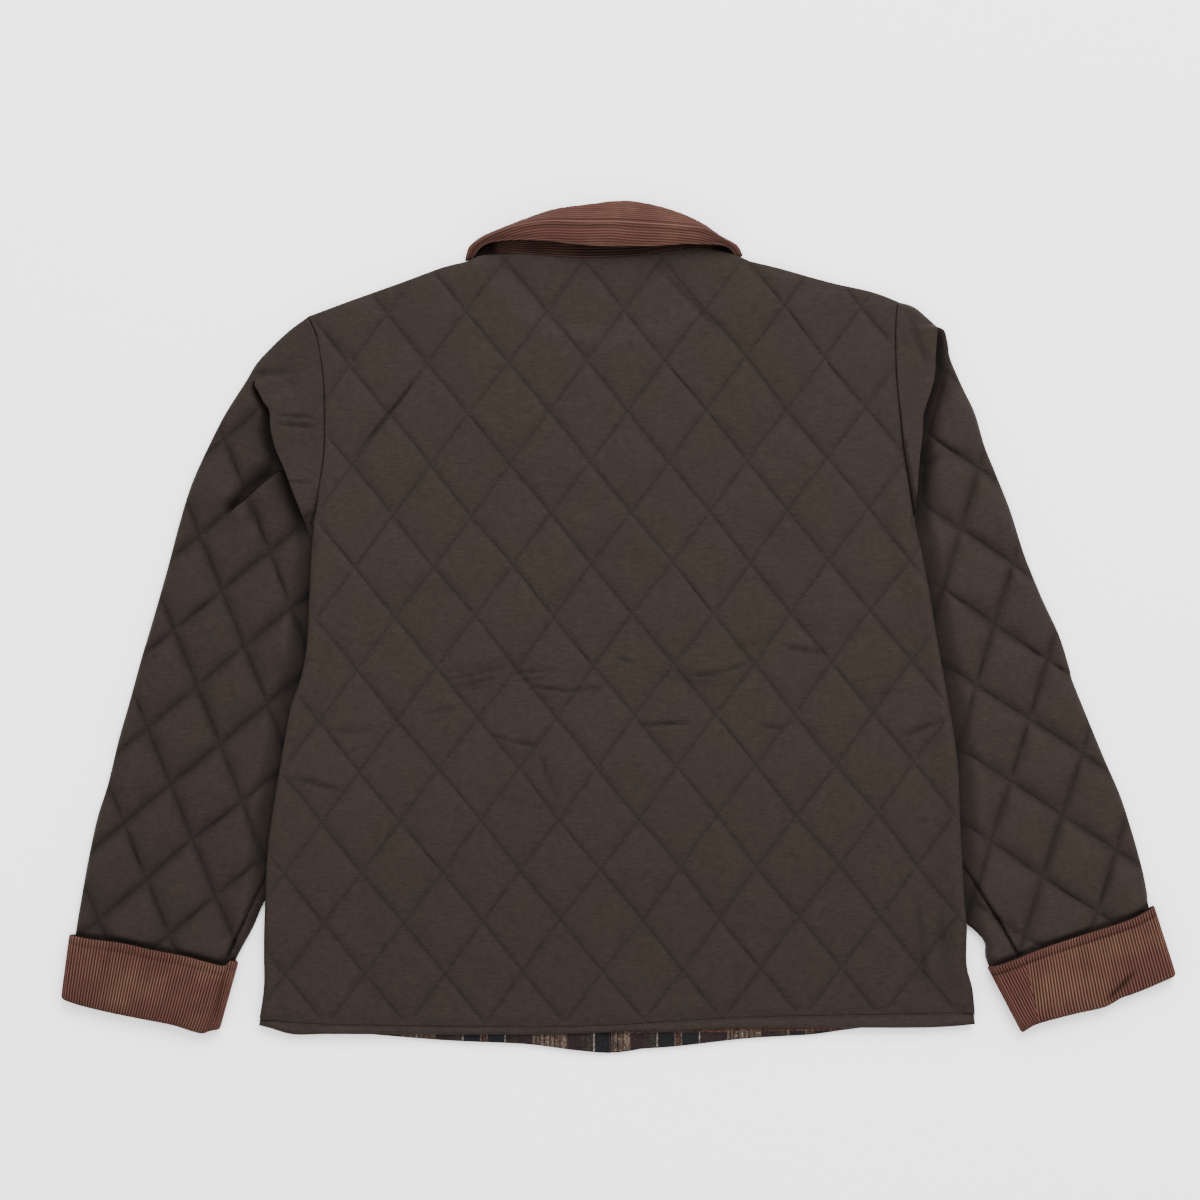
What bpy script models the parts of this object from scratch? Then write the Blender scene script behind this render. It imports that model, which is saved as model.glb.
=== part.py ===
"""Quilted jacket laid face down on a surface: padded shell, corduroy collar and cuffs.

Seen from above with the neck away: x runs to the right, y to the neck, z up from the
surface. The origin is on the surface, under the middle of the garment. Tables are in
millimetres; the meshes are in metres.
"""
import math

import bpy
import bmesh
from mathutils import Vector
from mathutils.geometry import delaunay_2d_cdt

MM = 0.001

# Cloth
SEAM_GAP = 0.3          # between two pieces at a seam
WALL = 2.6              # padded cloth along a line of quilting
PUFF = 4.0              # rise of a diamond's middle over its stitching
FRONT_WALL = 4.3        # a front, pressed flat between the back and the surface
HEM_WALL = 3.0          # a front at its turned-up hem
LINING = 1.0
COLLAR_LEAF = 2.2
SLEEVE_SLIT = (3.2, 3.8)    # hollow of a sleeve pressed flat: its floor and its roof
SLEEVE_STITCH = 7.0     # top of a sleeve along its quilting
SLEEVE_MARGIN = 5.9     # top of the sleeve where the side of the body lies on it
TUCK = 12.0             # how far the sleeve goes under the side of the body
TUCK_LIFT = 1.8         # how much the back rises over that margin
NECK_SAG = 3.2          # how much the back sinks into the neck hole

# Places along the garment (y)
MIDDLE = -7.5           # the middle of the body lies left of the origin
UNDERARM_Y = 62.0
TUCK_END_Y = -192.0     # from here the sleeve comes out from under the body
LIFT_END_Y = -246.0     # and from here the back lies flat on the fronts
LAP_UPPER = -6.0        # front edge of the left front, which lies on the right one
LAP_LOWER = -30.0       # front edge of the right front
LAP_CLEAR = 1.0         # between the two overlapping bands

# Mesh
EDGE_STEP = 15.0        # spacing of points along an outline
ROLL = 5.0              # width of a rolled edge
STEPS = 3               # points along one side of a diamond
PLAIN_STEP = 60.0       # spacing on plain inner faces


def table(columns, *rows):
    names = columns.split()
    return [dict(zip(names, row)) for row in rows]


def column_points(rows, x, y):
    return [(row[x], row[y]) for row in rows]


# The diamonds: one stitched corner, and the two sides of a diamond that leave it.
QUILTING = {
    "back": table("x y", (14.1, -73.5), (31.3, 42.05), (33.5, -41.1)),
    "left": table("x y", (-345.3, -49.9), (39.2, 32.4), (18.5, -46.3)),
    "right": table("x y", (308.1, 1.4), (43.1, -28.3), (-15.3, -49.7)),
}

# The body, from the underarm to the hem: its left and right silhouettes.
BODY_LEFT = table(
    "y x",
    (62, -251), (21, -253), (-16, -255), (-43, -260), (-62, -267), (-87, -272), (-134, -280),
    (-175, -286), (-204, -288), (-259, -290), (-294, -290), (-322, -294))
BODY_RIGHT = table(
    "y x",
    (62, 248), (30, 254), (-12, 261), (-62, 270), (-92, 275), (-119, 278), (-171, 280),
    (-223, 283), (-244, 285), (-276, 285), (-297, 290), (-322, 292))

# The shoulders, from the neck to the armhole, and the armholes from there to the underarm.
SHOULDER_LEFT = table("x y", (-123, 299), (-144, 294), (-177, 282), (-219, 267), (-254, 254))
SHOULDER_RIGHT = table("x y", (108, 299), (133, 293), (173, 282), (208, 274), (229, 266))
ARMHOLE_LEFT = table(
    "x y", (-254, 254), (-247, 237), (-243, 216), (-241, 194), (-241, 144), (-245, 114), (-249, 88))
ARMHOLE_RIGHT = table(
    "x y", (229, 266), (227, 248), (227, 226), (228, 201), (231, 171), (234, 145), (241, 92))
BACK_NECK = table(
    "x y", (-123, 299), (-112, 304), (-80, 306), (-36, 303), (9, 304), (44, 309), (66, 311),
    (91, 306), (108, 299))
FRONT_NECK = table(
    "x y", (-123, 299), (-112, 275), (-90, 248), (-55, 229), (-7, 222), (41, 229), (76, 248),
    (97, 275), (108, 299))

# The line of stitching above the hem, the back's hem and the longer hem of the fronts.
HEM_STITCH = table("x y", (-289, -321), (-237, -325), (-90, -327), (-17, -326), (24, -324),
                   (83, -320), (144, -318), (210, -317), (287, -316))
BACK_HEM = table("x y", (-294, -326), (-266, -333.5), (-177, -333.5), (-70, -333.5), (-17, -332),
                 (18, -330.5), (85, -328.5), (199, -328), (272, -327), (292, -325))
FRONT_HEM = table("x y", (-291, -322), (-266, -331), (-212, -333.5), (-154, -338), (-93, -341),
                  (-38, -346.5), (-7, -349.3), (13, -347), (46, -344), (85, -339.5), (144, -335),
                  (188, -330), (206, -328), (245, -325.5), (272, -324), (289, -321))

# Sleeves: the outer edge from the shoulder to the wrist, and the end inside the cuff.
SLEEVE_LEFT = table(
    "x y", (-254, 254), (-269, 243), (-283, 230), (-296, 216), (-305, 201), (-321, 176),
    (-334, 151), (-349, 118), (-359, 86), (-377, 20), (-386, -11), (-401, -64), (-418, -129),
    (-427, -158), (-435, -196), (-442, -236), (-445.2, -256), (-450, -290))
SLEEVE_RIGHT = table(
    "x y", (229, 266), (242, 262), (261, 246), (270, 230), (282, 196), (292, 175), (300, 148),
    (320, 98), (334, 55), (348, 21), (361, -7), (370, -37), (386, -79), (398, -108), (411, -138),
    (421, -169), (433, -214), (434.6, -231), (447, -276))
INNER_LEFT = table("x y", (-276, -200), (-291, -227), (-299, -246), (-314.5, -276), (-327, -316))
INNER_RIGHT = table("x y", (270, -209), (283, -240), (291, -248), (306.5, -279), (328, -320))

# The fold of cloth that stands along each armhole, over a deep recess: ridge line.
CAP_LEFT = table(
    "x y", (-285, 186), (-281, 160), (-276, 143), (-270, 127), (-264, 112), (-259, 95), (-256, 81))
CAP_RIGHT = table(
    "x y", (259, 238), (258, 211), (254, 192), (248, 172), (246, 145), (245, 121), (245, 95))
BRANCH_LEFT = table("x y", (-284, 124), (-307, 101), (-325, 89))
FOLD_RISE = 5.0
FOLD_DEPTH = 3.6
FOLD_FLOOR = 5.6

# Cuffs: the free edge of the turned-back band and its folded edge, from the outer side of
# the arm to the inner side.
CUFF_LEFT = {
    "free": table("x y", (-449, -251), (-406, -258), (-360, -268), (-338, -273), (-310, -274)),
    "fold": table("x y", (-456, -305), (-420, -315), (-365, -326), (-341, -332.5), (-326, -331)),
}
CUFF_RIGHT = {
    "free": table("x y", (438, -227), (420, -238), (373, -253), (325, -271), (302, -278)),
    "fold": table("x y", (456, -285), (411, -302), (373, -316), (345, -325), (330, -332.5)),
}
CUFF_SIDE = 3.0         # cuff wall beside the sleeve
CUFF_TOP = 13.0         # top of the turned-back band
CUFF_FOLD_DROP = 1.5    # how much lower its folded edge is
CUFF_EDGES = (7.4, 8.6)     # top of the rim at the folded edge and along the sides
CUFF_HOLLOW = (2.0, 8.1)    # room in the cuff for the sleeve: floor and roof
CUFF_SLIT = (4.4, 5.0)      # the same at the folded edge
SLEEVE_END = (2.3, 7.8)     # the sleeve inside the cuff: underside and top
SLEEVE_RIM = (1.6, 5.2)     # rounded edge of a sleeve: underside and top

# Collar: sections from the left shoulder to the right, from the free edge of the fall (edge)
# over the ridge to the fold line (arch). ridge is a share of the way between them.
COLLAR = table(
    "edge_x edge_y arch_x arch_y edge_top ridge ridge_top",
    (-118.5, 304.5, -125.5, 302.5, 6.5, 0.50, 7.5),
    (-114, 310, -122.5, 311, 10.0, 0.50, 11.5),
    (-107, 315, -112, 319.5, 13.0, 0.55, 14.5),
    (-95, 317, -99, 325.5, 15.5, 0.70, 18.0),
    (-80, 318.5, -80, 333, 17.0, 0.68, 21.0),
    (-57, 316, -53, 342.5, 17.5, 0.57, 22.5),
    (-30, 312.5, -25, 346.5, 18.0, 0.53, 23.0),
    (0, 312, 4, 349.3, 18.0, 0.50, 23.0),
    (28, 312.5, 29, 346, 18.0, 0.50, 23.0),
    (54, 314, 52, 339, 17.5, 0.54, 22.0),
    (72, 313.5, 70, 330.5, 16.5, 0.68, 20.0),
    (85, 313, 83, 321, 14.0, 0.70, 17.0),
    (91.5, 310, 97.5, 314.0, 10.0, 0.50, 11.5),
    (94.5, 307, 102, 307, 6.5, 0.50, 7.5))
COLLAR_WALL = 3.0
COLLAR_TURN = 22.0      # width of the layer that the fold line turns under

# Collar stand: from the back's neck seam up under the fall. At both ends it sinks and
# closes the hollow between the fall and the shoulder.
STAND = table(
    "x neck_y top_y top", (-113, 304.4, 310.0, 2.9), (-107, 305.3, 316.3, 4.0),
    (-97, 306.2, 317.5, 9.7), (-80, 306.6, 323, 13.8), (-57, 305.0, 328, 16.1),
    (-30, 303.6, 330, 16.2), (9, 304.7, 330, 16.3), (44, 309.7, 326, 16.2),
    (58, 311.5, 323, 14.8), (70, 311.3, 319, 13.0), (80, 309.6, 315.5, 7.0),
    (88, 307.5, 312.2, 3.6), (92.5, 306.2, 308.6, 2.9))
STAND_BEND = 0.15       # height of its bend, as a share of its rise
STAND_WALL = 2.4


# ---------------------------------------------------------------- plane geometry

def smooth(points, step, closed=False):
    """Points about a step apart on a Catmull-Rom curve through the given points."""
    count = len(points)
    spans = count if closed else count - 1
    curve = []
    for i in range(spans):
        if closed:
            p = [Vector(points[(i + k) % count]) for k in (-1, 0, 1, 2)]
        else:
            p = [Vector(points[min(max(i + k, 0), count - 1)]) for k in (-1, 0, 1, 2)]
        parts = max(1, round((p[2] - p[1]).length / step))
        for k in range(parts):
            t = k / parts
            curve.append(0.5 * (2 * p[1] + (p[2] - p[0]) * t
                                + (2 * p[0] - 5 * p[1] + 4 * p[2] - p[3]) * t ** 2
                                + (3 * p[1] - p[0] - 3 * p[2] + p[3]) * t ** 3))
    if not closed:
        curve.append(Vector(points[-1]))
    return [(p.x, p.y) for p in curve]


def moved(points, distance, closed=False):
    """The line moved to its left by a distance."""
    count = len(points)
    result = []
    for i, point in enumerate(points):
        before = points[i - 1] if closed or i else point
        after = points[(i + 1) % count] if closed or i < count - 1 else point
        along = (Vector(after) - Vector(before)).normalized()
        result.append((point[0] - along.y * distance, point[1] + along.x * distance))
    return result


def inside(point, outline):
    x, y = point
    crossings = False
    for (ax, ay), (bx, by) in zip(outline, outline[1:] + outline[:1]):
        if (ay > y) != (by > y) and x < ax + (bx - ax) * (y - ay) / (by - ay):
            crossings = not crossings
    return crossings


def distance(point, line, closed=False):
    """Shortest way from a point to a line of points."""
    ends = line[1:] + line[:1] if closed else line[1:]
    p = Vector(point)
    best = math.inf
    for a, b in zip(line, ends):
        start, span = Vector(a), Vector(b) - Vector(a)
        t = (p - start).dot(span) / max(span.length_squared, 1e-9)
        best = min(best, (p - start - span * min(1.0, max(0.0, t))).length)
    return best


def blend(value, start, end):
    """0 before start, 1 after end, with a soft turn between them."""
    t = min(1.0, max(0.0, (value - start) / (end - start)))
    return t * t * (3 - 2 * t)


def ring(outline, inset):
    """Points that follow a closed outline at a distance inside it."""
    return [p for p in moved(outline, inset, closed=True)
            if inside(p, outline) and distance(p, outline, closed=True) > 0.8 * inset]


def grid(outline, step, clear):
    xs = [p[0] for p in outline]
    ys = [p[1] for p in outline]
    across = int((max(xs) - min(xs)) / step)
    along = int((max(ys) - min(ys)) / step)
    spots = [(min(xs) + (i + 0.5) * step, min(ys) + (j + 0.5) * step)
             for i in range(across + 1) for j in range(along + 1)]
    return [p for p in spots if inside(p, outline) and distance(p, outline, True) > clear]


class Quilt:
    """A lattice of stitched lines with a puff in each diamond."""

    def __init__(self, rows):
        self.corner, self.side_a, self.side_b = (Vector((r["x"], r["y"])) for r in rows)
        self.area = self.side_a.cross(self.side_b)

    def place(self, point):
        offset = Vector(point) - self.corner
        return offset.cross(self.side_b) / self.area, self.side_a.cross(offset) / self.area

    def puff(self, point):
        a, b = self.place(point)
        swell = abs(math.sin(math.pi * a) * math.sin(math.pi * b))
        return PUFF * min(1.0, math.sqrt(swell) / 0.85)

    def spots(self, outline, clear):
        corners = [self.place(p) for p in outline]
        result = []
        for i in range(math.floor(min(c[0] for c in corners) * STEPS),
                       math.ceil(max(c[0] for c in corners) * STEPS) + 1):
            for j in range(math.floor(min(c[1] for c in corners) * STEPS),
                           math.ceil(max(c[1] for c in corners) * STEPS) + 1):
                p = self.corner + self.side_a * (i / STEPS) + self.side_b * (j / STEPS)
                if inside((p.x, p.y), outline) and distance((p.x, p.y), outline, True) > clear:
                    result.append((p.x, p.y))
        return result


def kept_apart(first, others, gap):
    """All of the first spots, and the others that keep a gap to them."""
    return first + [p for p in others if all(math.dist(p, q) > gap for q in first)]


# ---------------------------------------------------------------- solids

class Shell:
    """Closed cloth solid, put together from sheets that share an outline."""

    def __init__(self):
        self.points = []
        self.faces = []

    def sheet(self, outline, spots, height, edge_height):
        """A triangulated sheet; returns the indices of its outline."""
        flat = [Vector(p) for p in list(outline) + list(spots)]
        edges = [(i, (i + 1) % len(outline)) for i in range(len(outline))]
        places, _, faces, _, _, _ = delaunay_2d_cdt(flat, edges, [], 1, 1e-4)
        first = len(self.points)
        for i, p in enumerate(places):
            z = edge_height(p) if i < len(outline) else height(p)
            self.points.append((p.x * MM, p.y * MM, z * MM))
        self.faces += [[first + i for i in face] for face in faces]
        return list(range(first, first + len(outline)))

    def strip(self, upper, lower, spans=None):
        count = len(upper)
        for i in range(count) if spans is None else spans:
            k = (i + 1) % count
            self.faces.append([upper[i], upper[k], lower[k], lower[i]])

    def finish(self, name, material, collection):
        mesh = bpy.data.meshes.new(name)
        mesh.from_pydata(self.points, [], self.faces)
        solid = bmesh.new()
        solid.from_mesh(mesh)
        bmesh.ops.triangulate(solid, faces=[f for f in solid.faces if len(f.verts) > 3])
        bmesh.ops.recalc_face_normals(solid, faces=solid.faces)
        solid.to_mesh(mesh)
        solid.free()
        mesh.shade_smooth()
        mesh.set_sharp_from_angle(angle=math.radians(50))
        mesh.materials.append(material)
        piece = bpy.data.objects.new(name, mesh)
        collection.objects.link(piece)
        return piece


def level(z):
    return lambda p: z


def wall(name, outline, top, under, material, collection):
    """A wall of cloth: top and under are (spots, height, height at the outline)."""
    shell = Shell()
    shell.strip(shell.sheet(outline, *top), shell.sheet(outline, *under))
    return shell.finish(name, material, collection)


def tube(name, outline, open_spans, side, top, under, slit, material, collection,
         inner_line=()):
    """A flattened tube, open along some spans of its outline, with its hollow inside.

    slit is (floor, roof) of the hollow, both read at a point; inner_line adds points there.
    """
    count = len(outline)
    hollow = moved(outline, side, closed=True)
    for i in range(count):
        before_open = (i - 1) % count in open_spans
        after_open = i in open_spans
        if before_open and after_open:
            hollow[i] = outline[i]
        elif before_open or after_open:
            along = (Vector(outline[(i + 1) % count]) - Vector(outline[i])).normalized()
            back = (Vector(outline[i - 1]) - Vector(outline[i])).normalized()
            corner = Vector(outline[i]) + (along if after_open else back) * side
            if along.dot(back) < -0.6:
                corner += Vector(hollow[i]) - Vector(outline[i])
            hollow[i] = (corner.x, corner.y)
    shell = Shell()
    spots = kept_apart(list(inner_line), grid(hollow, PLAIN_STEP, 12.0), 15.0)
    over = shell.sheet(outline, *top)
    below = shell.sheet(outline, *under)
    inner_over = shell.sheet(hollow, spots, slit[1], slit[1])
    inner_below = shell.sheet(hollow, spots, slit[0], slit[0])
    sides = [i for i in range(count) if i not in open_spans]
    shell.strip(over, below, sides)
    shell.strip(inner_over, inner_below, sides)
    shell.strip(over, inner_over, open_spans)
    shell.strip(below, inner_below, open_spans)
    for i in range(count):
        if ((i - 1) % count in open_spans) != (i in open_spans):
            shell.faces.append([over[i], inner_over[i], inner_below[i], below[i]])
    return shell.finish(name, material, collection)


def cloth_material(name, colour, roughness):
    material = bpy.data.materials.new(name)
    material.use_nodes = True
    shader = material.node_tree.nodes["Principled BSDF"]
    shader.inputs["Base Color"].default_value = (*colour, 1.0)
    shader.inputs["Roughness"].default_value = roughness
    shader.inputs["Metallic"].default_value = 0.0
    material.diffuse_color = (*colour, 1.0)
    return material


# ---------------------------------------------------------------- body

def body_lines():
    """The silhouettes and seams that several pieces share, all smoothed."""
    lines = {
        "left": smooth(column_points(BODY_LEFT, "x", "y"), EDGE_STEP),
        "right": smooth(column_points(BODY_RIGHT, "x", "y"), EDGE_STEP),
        "shoulder_left": smooth(column_points(SHOULDER_LEFT, "x", "y"), EDGE_STEP),
        "shoulder_right": smooth(column_points(SHOULDER_RIGHT, "x", "y"), EDGE_STEP),
        "armhole_left": smooth(column_points(ARMHOLE_LEFT, "x", "y"), EDGE_STEP),
        "armhole_right": smooth(column_points(ARMHOLE_RIGHT, "x", "y"), EDGE_STEP),
        "inner_left": smooth(column_points(INNER_LEFT, "x", "y"), EDGE_STEP),
        "inner_right": smooth(column_points(INNER_RIGHT, "x", "y"), EDGE_STEP),
    }
    # The hidden inner edge of each sleeve, tucked under the side of the body.
    for side, towards in (("left", 1), ("right", -1)):
        tuck = [(x + towards * TUCK * blend(y, UNDERARM_Y + 14, UNDERARM_Y - 6), y)
                for x, y in lines[side] if y > TUCK_END_Y]
        lines["tuck_" + side] = tuck + lines["inner_" + side][:1]
    return lines


def back_outline(lines, gap):
    """Anticlockwise from the left end of the neck."""
    left = lines["shoulder_left"][:-1] + lines["armhole_left"] + lines["left"][:-1]
    right = lines["shoulder_right"][:-1] + lines["armhole_right"] + lines["right"][:-1]
    hem = smooth(column_points(HEM_STITCH, "x", "y"), 2 * EDGE_STEP)
    neck = smooth(column_points(BACK_NECK, "x", "y"), EDGE_STEP)
    outline = left + hem + right[::-1] + neck[-2:0:-1]
    return moved(outline, gap, closed=True)


def over_leaves(point):
    """1 over the front ends of the collar, 0 away from them."""
    return 1 - blend(math.dist(point, (MIDDLE, 262.0)), 135.0, 170.0)


def back_under(lines):
    """Underside of the back: flat, raised over the collar's ends and the sleeves."""
    sides = [lines["armhole_" + side] + lines[side] for side in ("left", "right")]
    front_neck = column_points(FRONT_NECK, "x", "y")
    neck_hole = front_neck + [(120, 330), (-130, 330)]

    def height(p):
        point = (p[0], p[1])
        near = min(distance(point, side) for side in sides)
        tucked = (1 - blend(near, TUCK + 1, TUCK + 14)) * blend(p[1], LIFT_END_Y - 22, LIFT_END_Y)
        tucked *= blend(p[1], UNDERARM_Y + 90, UNDERARM_Y + 40)
        lift = max(TUCK_LIFT * tucked, 1.5 * over_leaves(point))
        if inside(point, neck_hole):
            lift -= NECK_SAG * blend(distance(point, front_neck), 6.0, 26.0)
        return FRONT_WALL + SEAM_GAP + lift
    return height


def make_back(lines, material, collection):
    outline = back_outline(lines, 0.5 * SEAM_GAP)
    quilt = Quilt(QUILTING["back"])
    under = back_under(lines)

    def top(p):
        edge = distance((p[0], p[1]), outline, True)
        return under(p) + WALL + quilt.puff(p) * blend(edge, -2.0, 16.0)

    def rolled(p):
        return under(p) + 0.6 * WALL

    spots = kept_apart(ring(outline, ROLL), quilt.spots(outline, 1.6 * ROLL), 5.0)
    plain = ring(outline, TUCK + 2) + ring(outline, TUCK + 15)
    neck = [p for p in grid(outline, 20.0, 6.0) if math.dist(p, (MIDDLE, 262.0)) < 175]
    plain = kept_apart(kept_apart(plain, neck, 9.0), grid(outline, PLAIN_STEP, TUCK + 24), 18.0)
    return wall("back", outline, (spots, top, rolled), (plain, under, under), material, collection)


def make_back_hem(lines, material, collection):
    """A narrow double-folded band below the last line of stitching."""
    stitched = smooth(column_points(HEM_STITCH, "x", "y"), 2 * EDGE_STEP)
    folded = smooth(column_points(BACK_HEM, "x", "y"), 2 * EDGE_STEP)
    outline = moved(stitched, -0.5 * SEAM_GAP) + folded[::-1]
    outline = outline[::-1]
    middle = smooth([((a["x"] + b[0]) / 2, (a["y"] + b[1]) / 2) for a, b in
                     zip(HEM_STITCH, sample(folded, len(HEM_STITCH)))], 2 * EDGE_STEP)[1:-1]
    bottom = FRONT_WALL + SEAM_GAP
    return wall("back_hem", outline, (middle, level(bottom + WALL + 1.2), level(bottom + WALL - 0.4)),
                ([], level(bottom), level(bottom)), material, collection)


def sample(line, count):
    """Points spread evenly along a line by number."""
    return [line[round(i * (len(line) - 1) / (count - 1))] for i in range(count)]


# ---------------------------------------------------------------- fronts

def height_at(line, x):
    """The y of a line that runs along x."""
    for (ax, ay), (bx, by) in zip(line, line[1:]):
        if min(ax, bx) <= x <= max(ax, bx):
            return ay + (by - ay) * (x - ax) / (bx - ax)
    raise ValueError("x is off the line")


def lap_step(side):
    """Where a front becomes half as thick, to lap with the other one."""
    return LAP_LOWER - 3.0 if side == "left" else LAP_UPPER + 2.0


def step_sides(step):
    return step - 1.5, step + 1.5


def with_step(line, step):
    """A line that runs along x, with points on both sides of the step."""
    kept = [p for p in line if abs(p[0] - step) > 4]
    return sorted(kept + [(x, height_at(line, x)) for x in step_sides(step)])


def front_outline(lines, side):
    """One front, anticlockwise: side, hem, front edge, neck, shoulder and armhole."""
    left = side == "left"
    towards = 1 if left else -1
    edge = LAP_UPPER if left else LAP_LOWER
    step = lap_step(side)
    hem = with_step(smooth(column_points(FRONT_HEM, "x", "y"), 1.6 * EDGE_STEP), step)
    neck = with_step(smooth(column_points(FRONT_NECK, "x", "y"), EDGE_STEP), step)
    own = [p for p in hem if towards * (edge - p[0]) > 2]
    own_neck = [p for p in neck if towards * (edge - p[0]) > 2]
    front = straight([(edge, height_at(hem, edge)), (edge, height_at(neck, edge))], EDGE_STEP)

    armhole = [p for p in lines["armhole_" + side] if p[1] > UNDERARM_Y + 42]
    corner = [(armhole[-1][0] + towards * 6.0, UNDERARM_Y + 22)]
    beside = [(x + towards * 1.2, y - 0.8) for x, y in lines["tuck_" + side]]
    beside += [(x + towards * 1.2, y - 0.8) for x, y in lines["inner_" + side][1:]
               if towards * (x - beside_limit(lines, side, y)) > 2]
    free = [(x + towards * 0.8, y) for x, y in lines[side][:-1] if y < beside[-1][1] - 6]
    seam = lines["shoulder_" + side][:-1] + armhole + corner + beside + free
    if left:
        outline = seam + own + front + own_neck[:0:-1]
    else:
        outline = own + seam[::-1] + own_neck[-2::-1] + front[::-1]
    return moved(outline, 0.5 * SEAM_GAP, closed=True)


def beside_limit(lines, side, y):
    """Silhouette of the body at a height, read from its line of points."""
    return height_at([(b, a) for a, b in lines[side]][::-1], y)


def make_front(lines, side, leaves, material, collection):
    left = side == "left"
    outline = front_outline(lines, side)
    hem = smooth(column_points(FRONT_HEM, "x", "y"), 2 * EDGE_STEP)
    step = lap_step(side)

    def bulk(p):
        """The front's full underside and top, before the bands are lapped."""
        point = (p[0], p[1])
        near = min(0.0 if inside(point, leaf) else distance(point, leaf, True) for leaf in leaves)
        lift = (COLLAR_LEAF + SEAM_GAP) * (1 - blend(near, 19.0, 34.0))
        thinner = (FRONT_WALL - HEM_WALL) * (1 - blend(distance(point, hem), 30.0, 46.0))
        return lift, FRONT_WALL + 1.2 * over_leaves(point) - thinner

    def top(p):
        lower, upper = bulk(p)
        return upper if left or p[0] > step else (lower + upper - LAP_CLEAR) / 2

    def under(p):
        lower, upper = bulk(p)
        return (lower + upper + LAP_CLEAR) / 2 if left and p[0] > step else lower

    lap = [(x, y) for y in range(-330, 225, 15) for x in step_sides(step)]
    lap = [p for p in lap if inside(p, outline) and distance(p, outline, True) > 4]
    chest = [p for p in grid(outline, 16.0, 6.0) if p[1] > 95]
    spots = kept_apart(lap, ring(outline, 31) + ring(outline, 46) + chest, 8.0)
    spots = kept_apart(spots, grid(outline, PLAIN_STEP, 50), 20.0)
    return wall("front_" + side, outline, (spots, top, top), (spots, under, under),
                material, collection)


LEAF = table("across y", (1, 222), (58, 150), (100, 176), (128, 215), (138, 258), (121, 294),
             (104, 296), (96, 288), (80, 272), (46, 256), (1, 250))


def leaf_outline(side):
    """Front end of the collar, flat below the front, anticlockwise."""
    sign = -1 if side == "left" else 1
    points = [(MIDDLE + sign * row["across"], row["y"]) for row in LEAF]
    return points[::-1] if side == "left" else points


def make_collar_end(side, material, collection):
    outline = divided(leaf_outline(side))
    return wall("collar_end_" + side, outline, ([], None, level(COLLAR_LEAF)),
                ([], None, level(0.0)), material, collection)


def divided(outline):
    """A closed outline with points along its sides, about two steps apart."""
    return straight(outline + outline[:1], 2 * EDGE_STEP)[:-1]


def straight(points, step):
    """Points about a step apart along straight runs."""
    line = []
    for a, b in zip(points, points[1:]):
        parts = max(1, round(math.dist(a, b) / step))
        line += [tuple(Vector(a).lerp(Vector(b), k / parts)) for k in range(parts)]
    return line + [tuple(points[-1])]


def make_lining(side, material, collection):
    """The strip of a front's lining that shows below the back's hem."""
    hem = smooth(column_points(FRONT_HEM, "x", "y"), 1.6 * EDGE_STEP)
    start, end = (-214.0, LAP_UPPER - 0.6) if side == "left" else (LAP_UPPER + 4.0, 212.0)
    low = [(start, height_at(hem, start))]
    low += [p for p in hem if start + 5 < p[0] < end - 5] + [(end, height_at(hem, end))]
    low = [(x, y + 1.0) for x, y in low]
    high = [(x, max(y + 6.0, -322.0)) for x, y in low]
    under = HEM_WALL + SEAM_GAP
    return wall("lining_" + side, low + high[::-1], ([], None, level(under + LINING)),
                ([], None, level(under)), material, collection)


# ---------------------------------------------------------------- sleeves

def signed_distance(point, line):
    """Distance to a line, positive on its left."""
    nearest = min(zip(line, line[1:]), key=lambda ends: distance(point, list(ends)))
    along = Vector(nearest[1]) - Vector(nearest[0])
    offset = Vector(point) - Vector(nearest[0])
    return math.copysign(distance(point, line), along.cross(offset))


def fold_height(point, ridge, outward):
    """Cloth that stands up to a ridge and drops into a recess outside it."""
    off = outward * signed_distance(point, ridge)
    ends = min(math.dist(point, ridge[0]), math.dist(point, ridge[-1]))
    along = blend(ends, 4.0, 22.0) if abs(off) < 60 else 0.0
    if off < 0.6:
        return FOLD_RISE * along * (1 - blend(-off, 2.0, 26.0))
    return -FOLD_DEPTH * along * (1 - blend(off, 5.0, 24.0))


def branch_height(point, ridge):
    """A soft trough that runs off the end of the recess."""
    off = distance(point, ridge)
    return -0.8 * FOLD_DEPTH * math.exp(-(off / 7.0) ** 2)


def sleeve_outline(lines, side):
    """Anticlockwise; also the spans of the two open ends."""
    outer = smooth(column_points(SLEEVE_LEFT if side == "left" else SLEEVE_RIGHT, "x", "y"),
                   EDGE_STEP)
    inner = lines["inner_" + side]
    wrist = straight([outer[-1], inner[-1]], EDGE_STEP)
    armhole = lines["armhole_" + side]
    outline = outer[:-1] + wrist[:-1] + inner[::-1] + lines["tuck_" + side][-2::-1]
    first = len(outline)
    outline += armhole[:0:-1]
    open_spans = list(range(len(outer) - 1, len(outer) + len(wrist) - 2))
    open_spans += list(range(first, len(outline)))
    if side == "right":
        count = len(outline)
        outline = outline[::-1]
        open_spans = [(count - 2 - i) % count for i in open_spans]
    return moved(outline, 0.5 * SEAM_GAP, closed=True), sorted(open_spans)


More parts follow.
